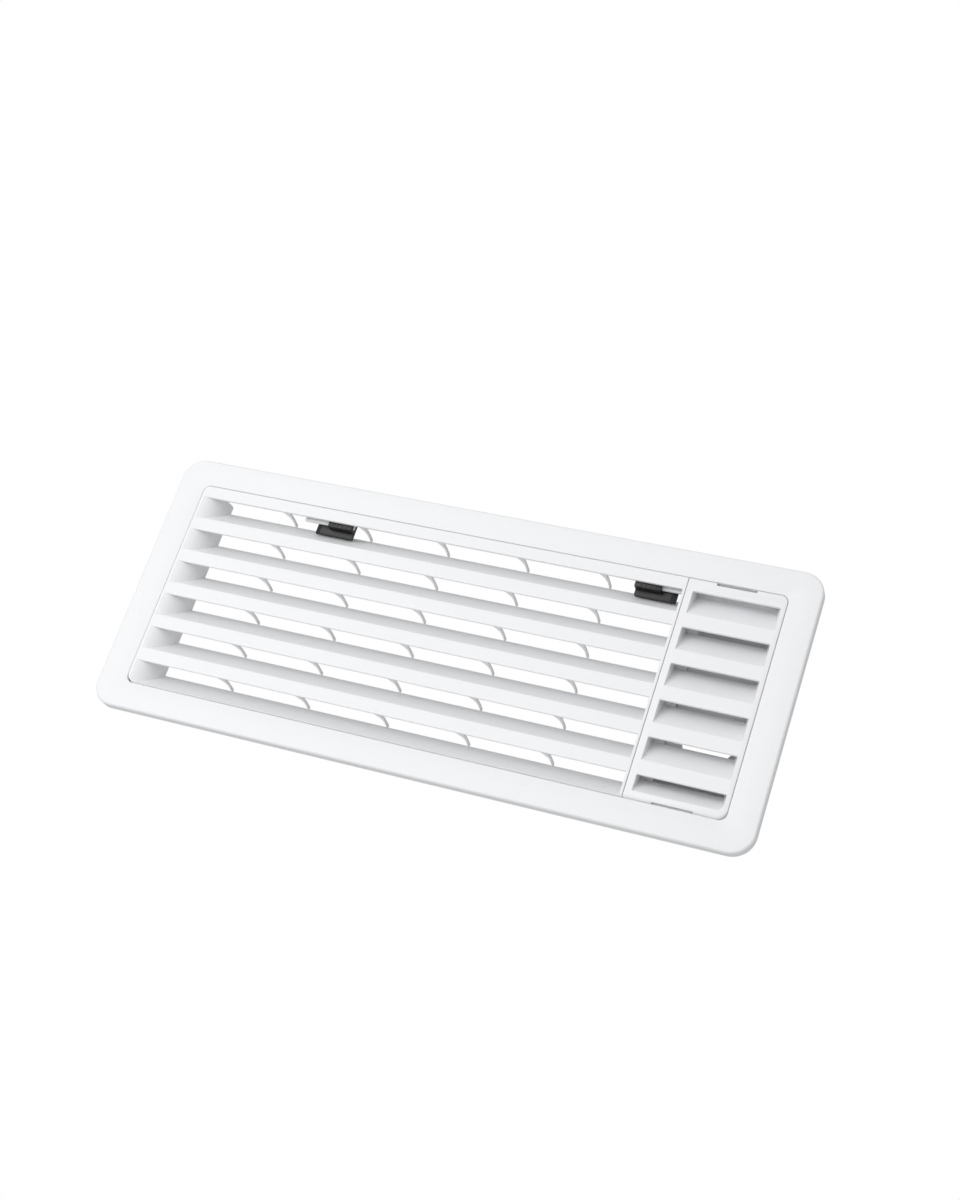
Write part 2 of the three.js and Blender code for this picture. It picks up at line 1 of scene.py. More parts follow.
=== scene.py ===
# Louvred air grille for the outside wall above and behind a fridge: a moulded wall frame,
# a louvre panel that tilts out of it, two sliding latches and a snap-in flue cover.
# Sizes are in millimetres and turned into metres as the points are made. A depth is measured
# from the front face of the frame into the wall, and the outside of the wall is at y = 0.
import math

import bmesh
import bpy
from mathutils import Matrix, Vector


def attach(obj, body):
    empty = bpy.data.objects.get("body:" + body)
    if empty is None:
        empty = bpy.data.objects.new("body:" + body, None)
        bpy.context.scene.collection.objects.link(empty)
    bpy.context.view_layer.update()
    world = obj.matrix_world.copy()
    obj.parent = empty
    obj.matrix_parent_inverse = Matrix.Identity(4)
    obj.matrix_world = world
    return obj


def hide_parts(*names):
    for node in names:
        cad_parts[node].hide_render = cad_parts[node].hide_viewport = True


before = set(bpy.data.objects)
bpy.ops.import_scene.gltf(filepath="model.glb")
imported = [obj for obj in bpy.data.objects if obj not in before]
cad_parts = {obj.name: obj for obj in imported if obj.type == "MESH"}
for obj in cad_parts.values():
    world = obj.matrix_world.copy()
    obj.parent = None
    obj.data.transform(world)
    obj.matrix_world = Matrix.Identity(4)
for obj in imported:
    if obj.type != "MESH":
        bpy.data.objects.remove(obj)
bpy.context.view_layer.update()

# ---- Wall frame ----------------------------------------------------------------------
# One white injection moulding: a flat flange with rounded edges that covers the cut in the
# wall, hollow behind, with a stepped ledge for the panel and a short collar that goes into
# the wall. Six screws go out sideways through the collar.
MM = 0.001
WIDTH, HEIGHT, FLANGE = 453, 187, 7
LEFT, RIGHT, BOTTOM, TOP = -WIDTH / 2, WIDTH / 2, -HEIGHT / 2, HEIGHT / 2
FLANGE_CORNER, FLANGE_ROUND, FLANGE_SKIN = 15, 1.6, 2.4
OPEN_LEFT, OPEN_RIGHT = LEFT + 20, RIGHT - 20
OPEN_BOTTOM, OPEN_TOP = BOTTOM + 18.6, TOP - 18.6
OPEN_CORNER = 5
LEDGE_WIDTH, LEDGE_DEPTH, COLLAR_DEPTH = 2, 5, 17
CLEAR = 0.3
SCREW_DEPTH, SCREW_HEIGHTS = 12, (-50, 0, 50)
KEEPER_SPANS = ((-126.7, -119.7), (136.2, 143.2))
KEEPER_DEPTHS, KEEPER_DROP = (5.2, 7.5), 5.3
LUG_CENTRES = (-128.03, 128.03)
LUG_SLOT_HALF, LUG_SLOT_DEPTHS, LUG_SLOT_BOTTOM = 8.6, (2.1, 8), -78.6
SCREW_BORE = 2.05
WELD = 0.5


def place(x, depth, z):
    """A point of the object, in metres."""
    return Vector((x, depth - FLANGE, z)) * MM


def rounded_loop(x0, x1, z0, z1, radii, depth, steps=10):
    """Points round an upright rectangle. radii are upper right, upper left, lower left and
    lower right."""
    upper_right, upper_left, lower_left, lower_right = radii
    corners = (
        (x1 - upper_right, z1 - upper_right, upper_right, 0),
        (x0 + upper_left, z1 - upper_left, upper_left, 90),
        (x0 + lower_left, z0 + lower_left, lower_left, 180),
        (x1 - lower_right, z0 + lower_right, lower_right, 270),
    )
    points = []
    for x, z, radius, start in corners:
        for step in range(steps + 1):
            angle = math.radians(start + 90 * step / steps)
            points.append(place(x + radius * math.cos(angle), depth, z + radius * math.sin(angle)))
    return points


def loft(shape, loops, ring=False):
    """Joins loops of points into one closed skin: a ring, or a body with both ends capped."""
    rows = [[shape.verts.new(point) for point in loop] for loop in loops]
    following = rows[1:] + rows[:1] if ring else rows[1:]
    for row, after in zip(rows, following):
        for index in range(len(row)):
            ahead = (index + 1) % len(row)
            shape.faces.new((row[index], row[ahead], after[ahead], after[index]))
    if not ring:
        shape.faces.new(rows[0])
        shape.faces.new(rows[-1])


def soft_box(shape, x0, x1, depth0, depth1, z0, z1, radius=0.3, segments=2):
    """A box with rounded edges."""
    size = Matrix.Diagonal(((x1 - x0) * MM, (depth1 - depth0) * MM, (z1 - z0) * MM, 1))
    centre = Matrix.Translation(place((x0 + x1) / 2, (depth0 + depth1) / 2, (z0 + z1) / 2))
    made = bmesh.ops.create_cube(shape, size=1, matrix=centre @ size)
    if radius:
        edges = list({edge for vert in made["verts"] for edge in vert.link_edges})
        bmesh.ops.bevel(shape, geom=edges, offset=radius * MM, segments=segments, profile=0.5,
                        affect="EDGES", clamp_overlap=True)


def bar(shape, radius, start, end, sides=32, lead=0.0):
    """A round bar between two points in metres. lead tapers its far end by that many mm."""
    along = (end - start).normalized()
    across = along.orthogonal().normalized()
    other = along.cross(across)
    stations = [(start, radius), (end, radius)]
    if lead:
        stations = [(start, radius), (end - along * lead * MM, radius), (end, radius - lead)]
    loops = []
    for centre, size in stations:
        turns = [2 * math.pi * index / sides for index in range(sides)]
        loops.append([centre + (across * math.cos(turn) + other * math.sin(turn)) * size * MM
                      for turn in turns])
    loft(shape, loops)


def finished(name, shape, material=None, crease=35):
    """Makes the object, at the origin, with outward faces and soft shading below the crease."""
    bmesh.ops.remove_doubles(shape, verts=shape.verts, dist=1e-7)
    bmesh.ops.recalc_face_normals(shape, faces=shape.faces)
    mesh = bpy.data.meshes.new(name)
    shape.to_mesh(mesh)
    shape.free()
    mesh.shade_smooth()
    mesh.set_sharp_from_angle(angle=math.radians(crease))
    if material:
        mesh.materials.append(material)
    made = bpy.data.objects.new(name, mesh)
    bpy.context.scene.collection.objects.link(made)
    return made


def settle(piece, crease=35):
    """Puts the result of a piece's modifiers into its mesh and takes the modifiers off."""
    bpy.context.view_layer.update()
    graph = bpy.context.evaluated_depsgraph_get()
    mesh = bpy.data.meshes.new_from_object(piece.evaluated_get(graph), depsgraph=graph)
    piece.modifiers.clear()
    piece.data = mesh
    shape = bmesh.new()
    shape.from_mesh(mesh)
    bmesh.ops.remove_doubles(shape, verts=shape.verts, dist=1e-6)
    bmesh.ops.dissolve_degenerate(shape, edges=shape.edges, dist=1e-6)
    shape.to_mesh(mesh)
    shape.free()
    mesh.shade_smooth()
    mesh.set_sharp_from_angle(angle=math.radians(crease))


def carve(piece, tool, how="DIFFERENCE"):
    """Cuts a piece with another shape, or keeps only what lies in it or joins the two."""
    modifier = piece.modifiers.new("carve", "BOOLEAN")
    modifier.operation = how
    modifier.object = tool
    modifier.solver = "EXACT"
    modifier.use_self = True
    settle(piece)
    bpy.data.objects.remove(tool)


def moulded_grain():
    """A shader group for moulded plastic: a faint change of tone, and the fine texture that the
    mould leaves, which also spreads the gloss."""
    group = bpy.data.node_groups.new("moulded grain", "ShaderNodeTree")
    inputs = (("Light Tone", "NodeSocketColor", (0.9, 0.9, 0.9, 1)),
              ("Deep Tone", "NodeSocketColor", (0.85, 0.85, 0.85, 1)),
              ("Tone Scale", "NodeSocketFloat", 9.0), ("Grain Scale", "NodeSocketFloat", 900.0),
              ("Gloss Low", "NodeSocketFloat", 0.36), ("Gloss High", "NodeSocketFloat", 0.46))
    for name, kind, value in inputs:
        group.interface.new_socket(name, in_out="INPUT", socket_type=kind).default_value = value
    for name, kind in (("Tone", "NodeSocketColor"), ("Roughness", "NodeSocketFloat"),
                       ("Height", "NodeSocketFloat")):
        group.interface.new_socket(name, in_out="OUTPUT", socket_type=kind)
    nodes, link = group.nodes, group.links.new
    given, out = nodes.new("NodeGroupInput"), nodes.new("NodeGroupOutput")
    where = nodes.new("ShaderNodeTexCoord")
    cloud, grain = nodes.new("ShaderNodeTexNoise"), nodes.new("ShaderNodeTexNoise")
    cloud.inputs["Detail"].default_value = 3
    grain.inputs["Detail"].default_value = 2
    for texture, scale in ((cloud, "Tone Scale"), (grain, "Grain Scale")):
        link(where.outputs["Object"], texture.inputs["Vector"])
        link(given.outputs[scale], texture.inputs["Scale"])
    tone = nodes.new("ShaderNodeMix")
    tone.data_type = "RGBA"
    link(cloud.outputs["Fac"], tone.inputs["Factor"])
    link(given.outputs["Light Tone"], tone.inputs["A"])
    link(given.outputs["Deep Tone"], tone.inputs["B"])
    gloss = nodes.new("ShaderNodeMapRange")
    link(grain.outputs["Fac"], gloss.inputs["Value"])
    link(given.outputs["Gloss Low"], gloss.inputs["To Min"])
    link(given.outputs["Gloss High"], gloss.inputs["To Max"])
    link(tone.outputs["Result"], out.inputs["Tone"])
    link(gloss.outputs["Result"], out.inputs["Roughness"])
    link(grain.outputs["Fac"], out.inputs["Height"])
    return group


GRAIN = moulded_grain()


def moulded_plastic(name, light, deep, gloss, grain_height=0.02, tone_scale=9, grain_scale=900):
    """A moulded plastic finish: two near tones, a range of roughness, and a fine grain in mm."""
    material = bpy.data.materials.new(name)
    material.use_nodes = True
    nodes, link = material.node_tree.nodes, material.node_tree.links.new
    shader = nodes["Principled BSDF"]
    grain = nodes.new("ShaderNodeGroup")
    grain.node_tree = GRAIN
    grain.inputs["Light Tone"].default_value = (*light, 1)
    grain.inputs["Deep Tone"].default_value = (*deep, 1)
    grain.inputs["Tone Scale"].default_value = tone_scale
    grain.inputs["Grain Scale"].default_value = grain_scale
    grain.inputs["Gloss Low"].default_value = gloss[0]
    grain.inputs["Gloss High"].default_value = gloss[1]
    bump = nodes.new("ShaderNodeBump")
    bump.inputs["Distance"].default_value = grain_height * MM
    bump.inputs["Strength"].default_value = 0.6
    link(grain.outputs["Tone"], shader.inputs["Base Color"])
    link(grain.outputs["Roughness"], shader.inputs["Roughness"])
    link(grain.outputs["Height"], bump.inputs["Height"])
    link(bump.outputs["Normal"], shader.inputs["Normal"])
    return material


white_abs = moulded_plastic("white moulded plastic", (0.905, 0.91, 0.92), (0.875, 0.882, 0.895),
                            (0.36, 0.48))


def flange_loop(inset, depth):
    radius = FLANGE_CORNER - inset
    return rounded_loop(LEFT + inset, RIGHT - inset, BOTTOM + inset, TOP - inset, (radius,) * 4,
                        depth)


def opening_loop(inset, depth):
    radius = OPEN_CORNER - min(inset, OPEN_CORNER - 1)
    return rounded_loop(OPEN_LEFT + inset, OPEN_RIGHT - inset, OPEN_BOTTOM + inset,
                        OPEN_TOP - inset, (radius,) * 4, depth)


def frame_loops():
    """The section of the frame, round from the flange's back edge to its hollow back."""
    loops = [flange_loop(0.3, FLANGE), flange_loop(0, FLANGE - 0.3)]
    for step in range(9):
        angle = math.radians(90 * step / 8)
        loops.append(flange_loop(FLANGE_ROUND * (1 - math.cos(angle)),
                                 FLANGE_ROUND * (1 - math.sin(angle))))
    loops += [opening_loop(-0.7, 0), opening_loop(-0.2, 0.2), opening_loop(0, 0.7)]
    loops += [opening_loop(0, LEDGE_DEPTH - 0.2), opening_loop(0.2, LEDGE_DEPTH)]
    loops += [opening_loop(LEDGE_WIDTH - 0.3, LEDGE_DEPTH)]
    loops += [opening_loop(LEDGE_WIDTH, LEDGE_DEPTH + 0.3)]
    loops += [opening_loop(LEDGE_WIDTH, COLLAR_DEPTH - 0.4)]
    loops += [opening_loop(LEDGE_WIDTH - 0.4, COLLAR_DEPTH)]
    loops += [opening_loop(0.4, COLLAR_DEPTH), opening_loop(0, COLLAR_DEPTH - 0.4)]
    loops += [opening_loop(0, FLANGE), opening_loop(-FLANGE_SKIN, FLANGE)]
    loops += [opening_loop(-FLANGE_SKIN, FLANGE_SKIN), flange_loop(FLANGE_SKIN, FLANGE_SKIN)]
    loops += [flange_loop(FLANGE_SKIN, FLANGE)]
    return loops


shape = bmesh.new()
loft(shape, frame_loops(), ring=True)
wall_frame = finished("wall_frame_moulding", shape, white_abs)

shape = bmesh.new()
for centre in LUG_CENTRES:
    soft_box(shape, centre - LUG_SLOT_HALF, centre + LUG_SLOT_HALF, *LUG_SLOT_DEPTHS,
             LUG_SLOT_BOTTOM, OPEN_BOTTOM + 2 * LEDGE_WIDTH, 0)
for side in (-1, 1):
    for height in SCREW_HEIGHTS:
        inner = side * (OPEN_RIGHT - LEDGE_WIDTH - 1)
        bar(shape, SCREW_BORE, place(inner, SCREW_DEPTH, height),
            place(inner + side * 4, SCREW_DEPTH, height))
carve(wall_frame, finished("frame cuts", shape))

shape = bmesh.new()
for start, end in KEEPER_SPANS:
    soft_box(shape, start, end, *KEEPER_DEPTHS, OPEN_TOP - LEDGE_WIDTH - KEEPER_DROP,
             OPEN_TOP - LEDGE_WIDTH + WELD, 0.4)
carve(wall_frame, finished("keepers", shape), "UNION")
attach(wall_frame, "frame")
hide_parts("wall_frame")

# ---- Sealing strip -------------------------------------------------------------------
# A dark closed-cell foam strip pressed into the flange's hollow back, which seals the frame
# to the wall. It is cut from sheet, so its skin is open and a little crushed.
FOAM_INSET, FOAM_WIDTH, FOAM_FRONT = 5, 9, FLANGE_SKIN + CLEAR


def cell_foam():
    """Grey foam with open cells."""
    material = bpy.data.materials.new("closed cell foam")
    material.use_nodes = True
    nodes, link = material.node_tree.nodes, material.node_tree.links.new
    shader = nodes["Principled BSDF"]
    where, cells = nodes.new("ShaderNodeTexCoord"), nodes.new("ShaderNodeTexVoronoi")
    cells.inputs["Scale"].default_value = 1100
    link(where.outputs["Object"], cells.inputs["Vector"])
    tone = nodes.new("ShaderNodeValToRGB")
    tone.color_ramp.elements[0].color = (0.012, 0.012, 0.013, 1)
    tone.color_ramp.elements[1].color = (0.05, 0.05, 0.054, 1)
    link(cells.outputs["Distance"], tone.inputs["Fac"])
    link(tone.outputs["Color"], shader.inputs["Base Color"])
    shader.inputs["Roughness"].default_value = 0.95
    bump = nodes.new("ShaderNodeBump")
    bump.inputs["Distance"].default_value = 0.25 * MM
    link(cells.outputs["Distance"], bump.inputs["Height"])
    link(bump.outputs["Normal"], shader.inputs["Normal"])
    return material


shape = bmesh.new()
foam_far = FOAM_INSET + FOAM_WIDTH
loft(shape, [flange_loop(FOAM_INSET, FOAM_FRONT), flange_loop(FOAM_INSET, FLANGE - 0.8),
             flange_loop(FOAM_INSET + 0.3, FLANGE - 0.2), flange_loop(FOAM_INSET + 1.4, FLANGE),
             flange_loop(foam_far - 1.4, FLANGE), flange_loop(foam_far - 0.3, FLANGE - 0.2),
             flange_loop(foam_far, FLANGE - 0.8), flange_loop(foam_far, FOAM_FRONT)], ring=True)
sealing_strip = finished("foam_strip", shape, cell_foam())
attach(sealing_strip, "frame")
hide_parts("sealing_strip")

# ---- Frame screws --------------------------------------------------------------------
# Six pan-head screws of plated steel with a cross recess, three on each side of the collar.
# Each is turned and rolled, and its head bears on the inside of the collar.
FRAME_SCREW = {"radius": 1.75, "length": 16, "head": 3.25, "height": 2, "pitch": 1.3}


def plated_steel():
    """Zinc-plated steel, a little streaky."""
    material = bpy.data.materials.new("zinc plated steel")
    material.use_nodes = True
    nodes, link = material.node_tree.nodes, material.node_tree.links.new
    shader = nodes["Principled BSDF"]
    shader.inputs["Metallic"].default_value = 1
    where, streaks = nodes.new("ShaderNodeTexCoord"), nodes.new("ShaderNodeTexNoise")
    streaks.inputs["Scale"].default_value = 700
    streaks.inputs["Detail"].default_value = 4
    link(where.outputs["Object"], streaks.inputs["Vector"])
    tone, gloss = nodes.new("ShaderNodeValToRGB"), nodes.new("ShaderNodeMapRange")
    tone.color_ramp.elements[0].color = (0.38, 0.39, 0.41, 1)
    tone.color_ramp.elements[1].color = (0.58, 0.59, 0.6, 1)
    gloss.inputs["To Min"].default_value = 0.26
    gloss.inputs["To Max"].default_value = 0.48
    link(streaks.outputs["Fac"], tone.inputs["Fac"])
    link(streaks.outputs["Fac"], gloss.inputs["Value"])
    link(tone.outputs["Color"], shader.inputs["Base Color"])
    link(gloss.outputs["Result"], shader.inputs["Roughness"])
    return material


steel = plated_steel()


def screw_mesh(name, size, sides=20):
    """One screw about the Y axis, its head's underside at the origin and its point at +Y."""
    radius, length, head, height = (size[key] for key in ("radius", "length", "head", "height"))
    root = radius * 0.74
    stations = [(0.02, -height), (head * 0.62, -height), (head * 0.88, -height * 0.8),
                (head, -height * 0.45), (head, -0.15), (head - 0.15, 0), (radius, 0),
                (radius, 0.6)]
    turns = int((length - 0.6 - radius) / size["pitch"])
    for turn in range(turns):
        base = 0.6 + turn * size["pitch"]
        stations += [(root, base + size["pitch"] * 0.35), (root, base + size["pitch"] * 0.65),
                     (radius, base + size["pitch"])]
    stations += [(root, length - radius * 0.9), (0.02, length)]
    shape = bmesh.new()
    loops = []
    for ring_radius, along in stations:
        angles = [2 * math.pi * index / sides for index in range(sides)]
        loops.append([Vector((ring_radius * math.cos(a), along, ring_radius * math.sin(a))) * MM
                      for a in angles])
    loft(shape, loops)
    made = finished(name, shape, steel, 50)
    shape = bmesh.new()
    arm, half = head * 0.55, head * 0.1
    for wide, tall in ((arm, half), (half, arm)):
        matrix = Matrix.Translation(Vector((0, -height, 0)) * MM) @ Matrix.Diagonal(
            (2 * wide * MM, height * 1.2 * MM, 2 * tall * MM, 1))
        bmesh.ops.create_cube(shape, size=1, matrix=matrix)
    carve(made, finished("cross recess", shape))
    return made


def fastener_tree():
    """Geometry nodes that set one screw on every point, turned as the point's attribute says."""
    tree = bpy.data.node_groups.new("fasteners on points", "GeometryNodeTree")
    for name, kind in (("Points", "NodeSocketGeometry"), ("Screw", "NodeSocketObject"),
                       ("Scale", "NodeSocketFloat"), ("Finish", "NodeSocketMaterial")):
        tree.interface.new_socket(name, in_out="INPUT", socket_type=kind)
    tree.interface.new_socket("Geometry", in_out="OUTPUT", socket_type="NodeSocketGeometry")
    nodes, link = tree.nodes, tree.links.new
    given, out = nodes.new("NodeGroupInput"), nodes.new("NodeGroupOutput")
    screw, turn = nodes.new("GeometryNodeObjectInfo"), nodes.new("GeometryNodeInputNamedAttribute")
    turn.data_type = "FLOAT_VECTOR"
    turn.inputs["Name"].default_value = "turn"
    spin = nodes.new("FunctionNodeEulerToRotation")
    each = nodes.new("GeometryNodeInstanceOnPoints")
    whole = nodes.new("GeometryNodeRealizeInstances")
    finish = nodes.new("GeometryNodeSetMaterial")
    link(given.outputs["Screw"], screw.inputs["Object"])
    link(given.outputs["Points"], each.inputs["Points"])
    link(screw.outputs["Geometry"], each.inputs["Instance"])
    link(turn.outputs["Attribute"], spin.inputs["Euler"])
    link(spin.outputs["Rotation"], each.inputs["Rotation"])
    link(given.outputs["Scale"], each.inputs["Scale"])
    link(each.outputs["Instances"], whole.inputs["Geometry"])
    link(whole.outputs["Geometry"], finish.inputs["Geometry"])
    link(given.outputs["Finish"], finish.inputs["Material"])
    link(finish.outputs["Geometry"], out.inputs["Geometry"])
    return tree


FASTENERS = fastener_tree()


def give(modifier, **values):
    """Sets a geometry nodes modifier's inputs, found by name, through their identifiers."""
    for item in modifier.node_group.interface.items_tree:
        if item.in_out == "INPUT" and item.name.replace(" ", "_") in values:
            modifier[item.identifier] = values[item.name.replace(" ", "_")]


def fasten(name, screw, places):
    """One mesh of screws. places are (point in metres, turn as an Euler vector)."""
    mesh = bpy.data.meshes.new(name)
    mesh.from_pydata([point for point, _ in places], [], [])
    turns = mesh.attributes.new("turn", "FLOAT_VECTOR", "POINT")
    for index, (_, euler) in enumerate(places):
        turns.data[index].vector = euler
    made = bpy.data.objects.new(name, mesh)
    bpy.context.scene.collection.objects.link(made)
    modifier = made.modifiers.new("fasteners", "NODES")
    modifier.node_group = FASTENERS
    give(modifier, Screw=screw, Scale=1.0, Finish=steel)
    settle(made, 50)
    bpy.data.objects.remove(screw)
    return made


frame_screw_places = [
    (place(side * (OPEN_RIGHT - LEDGE_WIDTH - CLEAR), SCREW_DEPTH, height),
     (0, 0, -side * math.pi / 2))
    for side in (-1, 1) for height in SCREW_HEIGHTS
]
frame_screws = fasten("frame_screw_set", screw_mesh("frame screw", FRAME_SCREW), frame_screw_places)
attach(frame_screws, "frame")
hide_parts(*[f"frame_screw_{number}" for number in range(1, 7)])

# ---- Louvre panel --------------------------------------------------------------------
# One white moulding of five sloping slats between a rolled cheek on the left and a dividing
# wall on the right, tied by thin arched ribs. Right of the divider is a tray for the flue
# cover. Rails for the latches stand behind the top bar, and two lugs hook into the frame.
PANEL_LEFT, PANEL_RIGHT = OPEN_LEFT + CLEAR, OPEN_RIGHT - CLEAR
PANEL_BOTTOM, PANEL_TOP = OPEN_BOTTOM + CLEAR, OPEN_TOP - CLEAR
PANEL_SKIN, RIM_DEPTH = 2.2, 4.7
SLOTS, FIRST_LIP, SLOT_PITCH, FASCIA = 6, 66.2, 24.925, 9.1
SLOT_HEIGHT = SLOT_PITCH - FASCIA
SLAT_DEPTH, SLAT_DROP, SLAT_SKIN = 21, 0.6, 1.8
CHEEK_WIDTH, CHEEK_WALL = 14.7, PANEL_SKIN * 0.9
DIVIDER_LEFT, DIVIDER_RIGHT = 139.7, 141.5
RIB_THICKNESS, RIB_PITCH, FIRST_RIB, RIB_COLUMNS = 1.2, 56.95, -140.0, 5
RIB_RISE, RIB_HEIGHT, RIB_FLARE, RIB_FLARE_DEPTH = 0.6, 1.6, 5, 15
HINGE_DEPTH, HINGE_ROUND = 2, 2
HINGE_Z = PANEL_BOTTOM + HINGE_ROUND
INNER_BOTTOM, INNER_TOP = -72.3, 70.9
SWING_CORNER = 6.5
RELIEF_MARGIN = 0.02
LUG_HALF, LUG_LENGTH, LUG_ROOT, LUG_DEPTHS = 8, 2.8, 2, (2.6, 4.4)
RAIL_SPANS, RAIL_DEPTHS, RAIL_DROP = ((-128, -91.5), (108, DIVIDER_LEFT + 0.9)), (5.5, 7.5), 1
SHELF_DEPTHS, SHELF_BOTTOM, SHELF_TOP = (1.1, 6.5), 70.9, 72.6
KEEPER_ROOM_DEPTHS, KEEPER_ROOM_HEIGHTS = (4.85, 7.8), (67.3, 73.9)
BOLT_ROOMS = ((-127.8, -91.2), (107.7, 144.2))
BOLT_ROOM_DEPTHS, BOLT_ROOM_HEIGHTS = (7.5, 10.9), (58.6, 70.8)
POST_RADIUS, SCREW_HOLE = 1.6, 1.2
LIPS = [FIRST_LIP - index * SLOT_PITCH for index in range(SLOTS)]
TRAY_DEPTH = 3
WINDOW_LEFT, WINDOW_RIGHT, WINDOW_BOTTOM, WINDOW_TOP = 144.8, 204.2, -71.3, 70.6
ADAPTOR_DEPTH = 13
SMALL_SCREW = {"radius": 0.9, "length": 8, "head": 2, "height": 1.4, "pitch": 0.9}
ADAPTOR_SCREWS = ((143.1, LIPS[1] + FASCIA / 2), (143.1, LIPS[4] + FASCIA / 2), (195.2, -70.5))
PRY_CENTRE, PRY_WIDTH, PRY_HEIGHT = 173.1, 26, 1.9


def rounded_outline(corners, steps=5):
    """A flat outline with each corner (u, v, radius) rounded off."""
    points = []
    for index, (u, v, radius) in enumerate(corners):
        here = Vector((u, v))
        before = Vector(corners[index - 1][:2])
        after = Vector(corners[(index + 1) % len(corners)][:2])
        if not radius:
            points.append(here)
            continue
        back, ahead = before - here, after - here
        half = back.angle(ahead) / 2
        reach = min(radius / math.tan(half), 0.48 * back.length, 0.48 * ahead.length)
        start, end = here + back.normalized() * reach, here + ahead.normalized() * reach
        for step in range(steps + 1):
            share = step / steps
            points.append(start * (1 - share) ** 2 + here * 2 * share * (1 - share)
                          + end * share ** 2)
    return points


def run_along_x(shape, outline, start, end):
    """A (depth, z) outline drawn out from start to end, each an x or a function of depth."""
    sides = []
    for edge in (start, end):
        sides.append([place(edge(depth) if callable(edge) else edge, depth, z)
                      for depth, z in outline])
    loft(shape, sides)


def cheek_x(depth, inset=0.0):
    """Where the rolled cheek's surface is at a depth. inset goes into the wall's thickness."""
    share = min(1.0, max(0.0, (SLAT_DEPTH - depth) / (SLAT_DEPTH - inset)))
    return PANEL_LEFT + (CHEEK_WIDTH - inset) * math.sqrt(1 - share * share)


def slat_outline(lip):
    """The section of one slat under a lip: a slope into the wall over an upright fascia."""
    front = lip - SLOT_HEIGHT
    inner = lip - SLAT_DROP
    rise = inner - front
    thick = SLAT_SKIN * math.hypot(1, rise / SLAT_DEPTH)
    return rounded_outline([
        (0, front, 0.9), (0, front - FASCIA, 0.5), (SLAT_SKIN, front - FASCIA, 0.4),
        (SLAT_SKIN, front + rise * SLAT_SKIN / SLAT_DEPTH - thick, 1.5),
        (SLAT_DEPTH, inner - thick, 0.5), (SLAT_DEPTH, inner, 0.4)])


def sill_outline():
    """The lowest slat: its slope runs down to the rounded edge that the panel swings on."""
    front, inner = LIPS[-1] - SLOT_HEIGHT, LIPS[-1] - SLAT_DROP
    rise = inner - front
    thick = SLAT_SKIN * math.hypot(1, rise / SLAT_DEPTH)
    points = [Vector((SLAT_DEPTH, inner)), Vector((0.55, front + rise * 0.55 / SLAT_DEPTH))]
    for angle in (50, 65, 80, 90):
        turn = math.radians(angle)
        points.append(Vector((HINGE_DEPTH - HINGE_ROUND * math.cos(turn),
                              HINGE_Z - HINGE_ROUND * math.sin(turn))))
    back_round = LEDGE_DEPTH - CLEAR - HINGE_DEPTH
    for angle in (48, 36, 24, 12, 0):
        turn = math.radians(angle)
        points.append(Vector((HINGE_DEPTH + back_round * math.cos(turn),
                              HINGE_Z - back_round * math.sin(turn))))
    clear_of_collar = SLAT_DEPTH * (1 - (inner - thick - INNER_BOTTOM) / rise)
    points += [Vector((RIM_DEPTH, INNER_BOTTOM)), Vector((clear_of_collar, INNER_BOTTOM)),
               Vector((SLAT_DEPTH, inner - thick))]
    return points


def cheek_wall(shape, depth_from, depth_to, z0, z1, steps=18):
    """The cheek: a wall that rolls over from the front face and runs back into the wall."""
    plan = []
    for inset in (0.0, CHEEK_WALL):
        side = []
        for step in range(steps + 1):
            angle = math.pi / 2 * step / steps
            depth = SLAT_DEPTH - (SLAT_DEPTH - inset) * math.cos(angle)
            x = PANEL_LEFT + (CHEEK_WIDTH - inset) * math.sin(angle)
            if depth_from <= depth <= depth_to:
                side.append((x, depth))
        plan.append(side)
    outline = plan[0] + plan[1][::-1]
    loft(shape, [[place(x, depth, z) for x, depth in outline] for z in (z0, z1)])


def panel_body():
    """Everything in the panel that isn't repeated, as overlapping walls to be joined."""
    shape = bmesh.new()
    top_bar = rounded_outline([
        (0, PANEL_TOP, 0.5), (0, FIRST_LIP, 0.5), (PANEL_SKIN, FIRST_LIP, 0.4),
        (PANEL_SKIN, PANEL_TOP - PANEL_SKIN, 0.5), (RIM_DEPTH, PANEL_TOP - PANEL_SKIN, 0.3),
        (RIM_DEPTH, PANEL_TOP, 0.3)])
    run_along_x(shape, top_bar, PANEL_LEFT, DIVIDER_RIGHT)
    slat_start = PANEL_LEFT + 0.02
    run_along_x(shape, sill_outline(),
                lambda depth: max(slat_start, cheek_x(depth, 1)), DIVIDER_LEFT + 0.6)
    cheek_wall(shape, 0, RIM_DEPTH + 0.6, PANEL_BOTTOM, PANEL_TOP)
    cheek_wall(shape, 0, SLAT_DEPTH, INNER_BOTTOM, INNER_TOP)
    soft_box(shape, PANEL_LEFT, PANEL_LEFT + PANEL_SKIN, 0, RIM_DEPTH, PANEL_BOTTOM, PANEL_TOP, 0.5)
    soft_box(shape, DIVIDER_LEFT, DIVIDER_RIGHT, 0, RIM_DEPTH, PANEL_BOTTOM, PANEL_TOP, 0.35)
    soft_box(shape, DIVIDER_LEFT, DIVIDER_RIGHT, 0.5, ADAPTOR_DEPTH - CLEAR, INNER_BOTTOM,
             INNER_TOP, 0.2)
    return shape


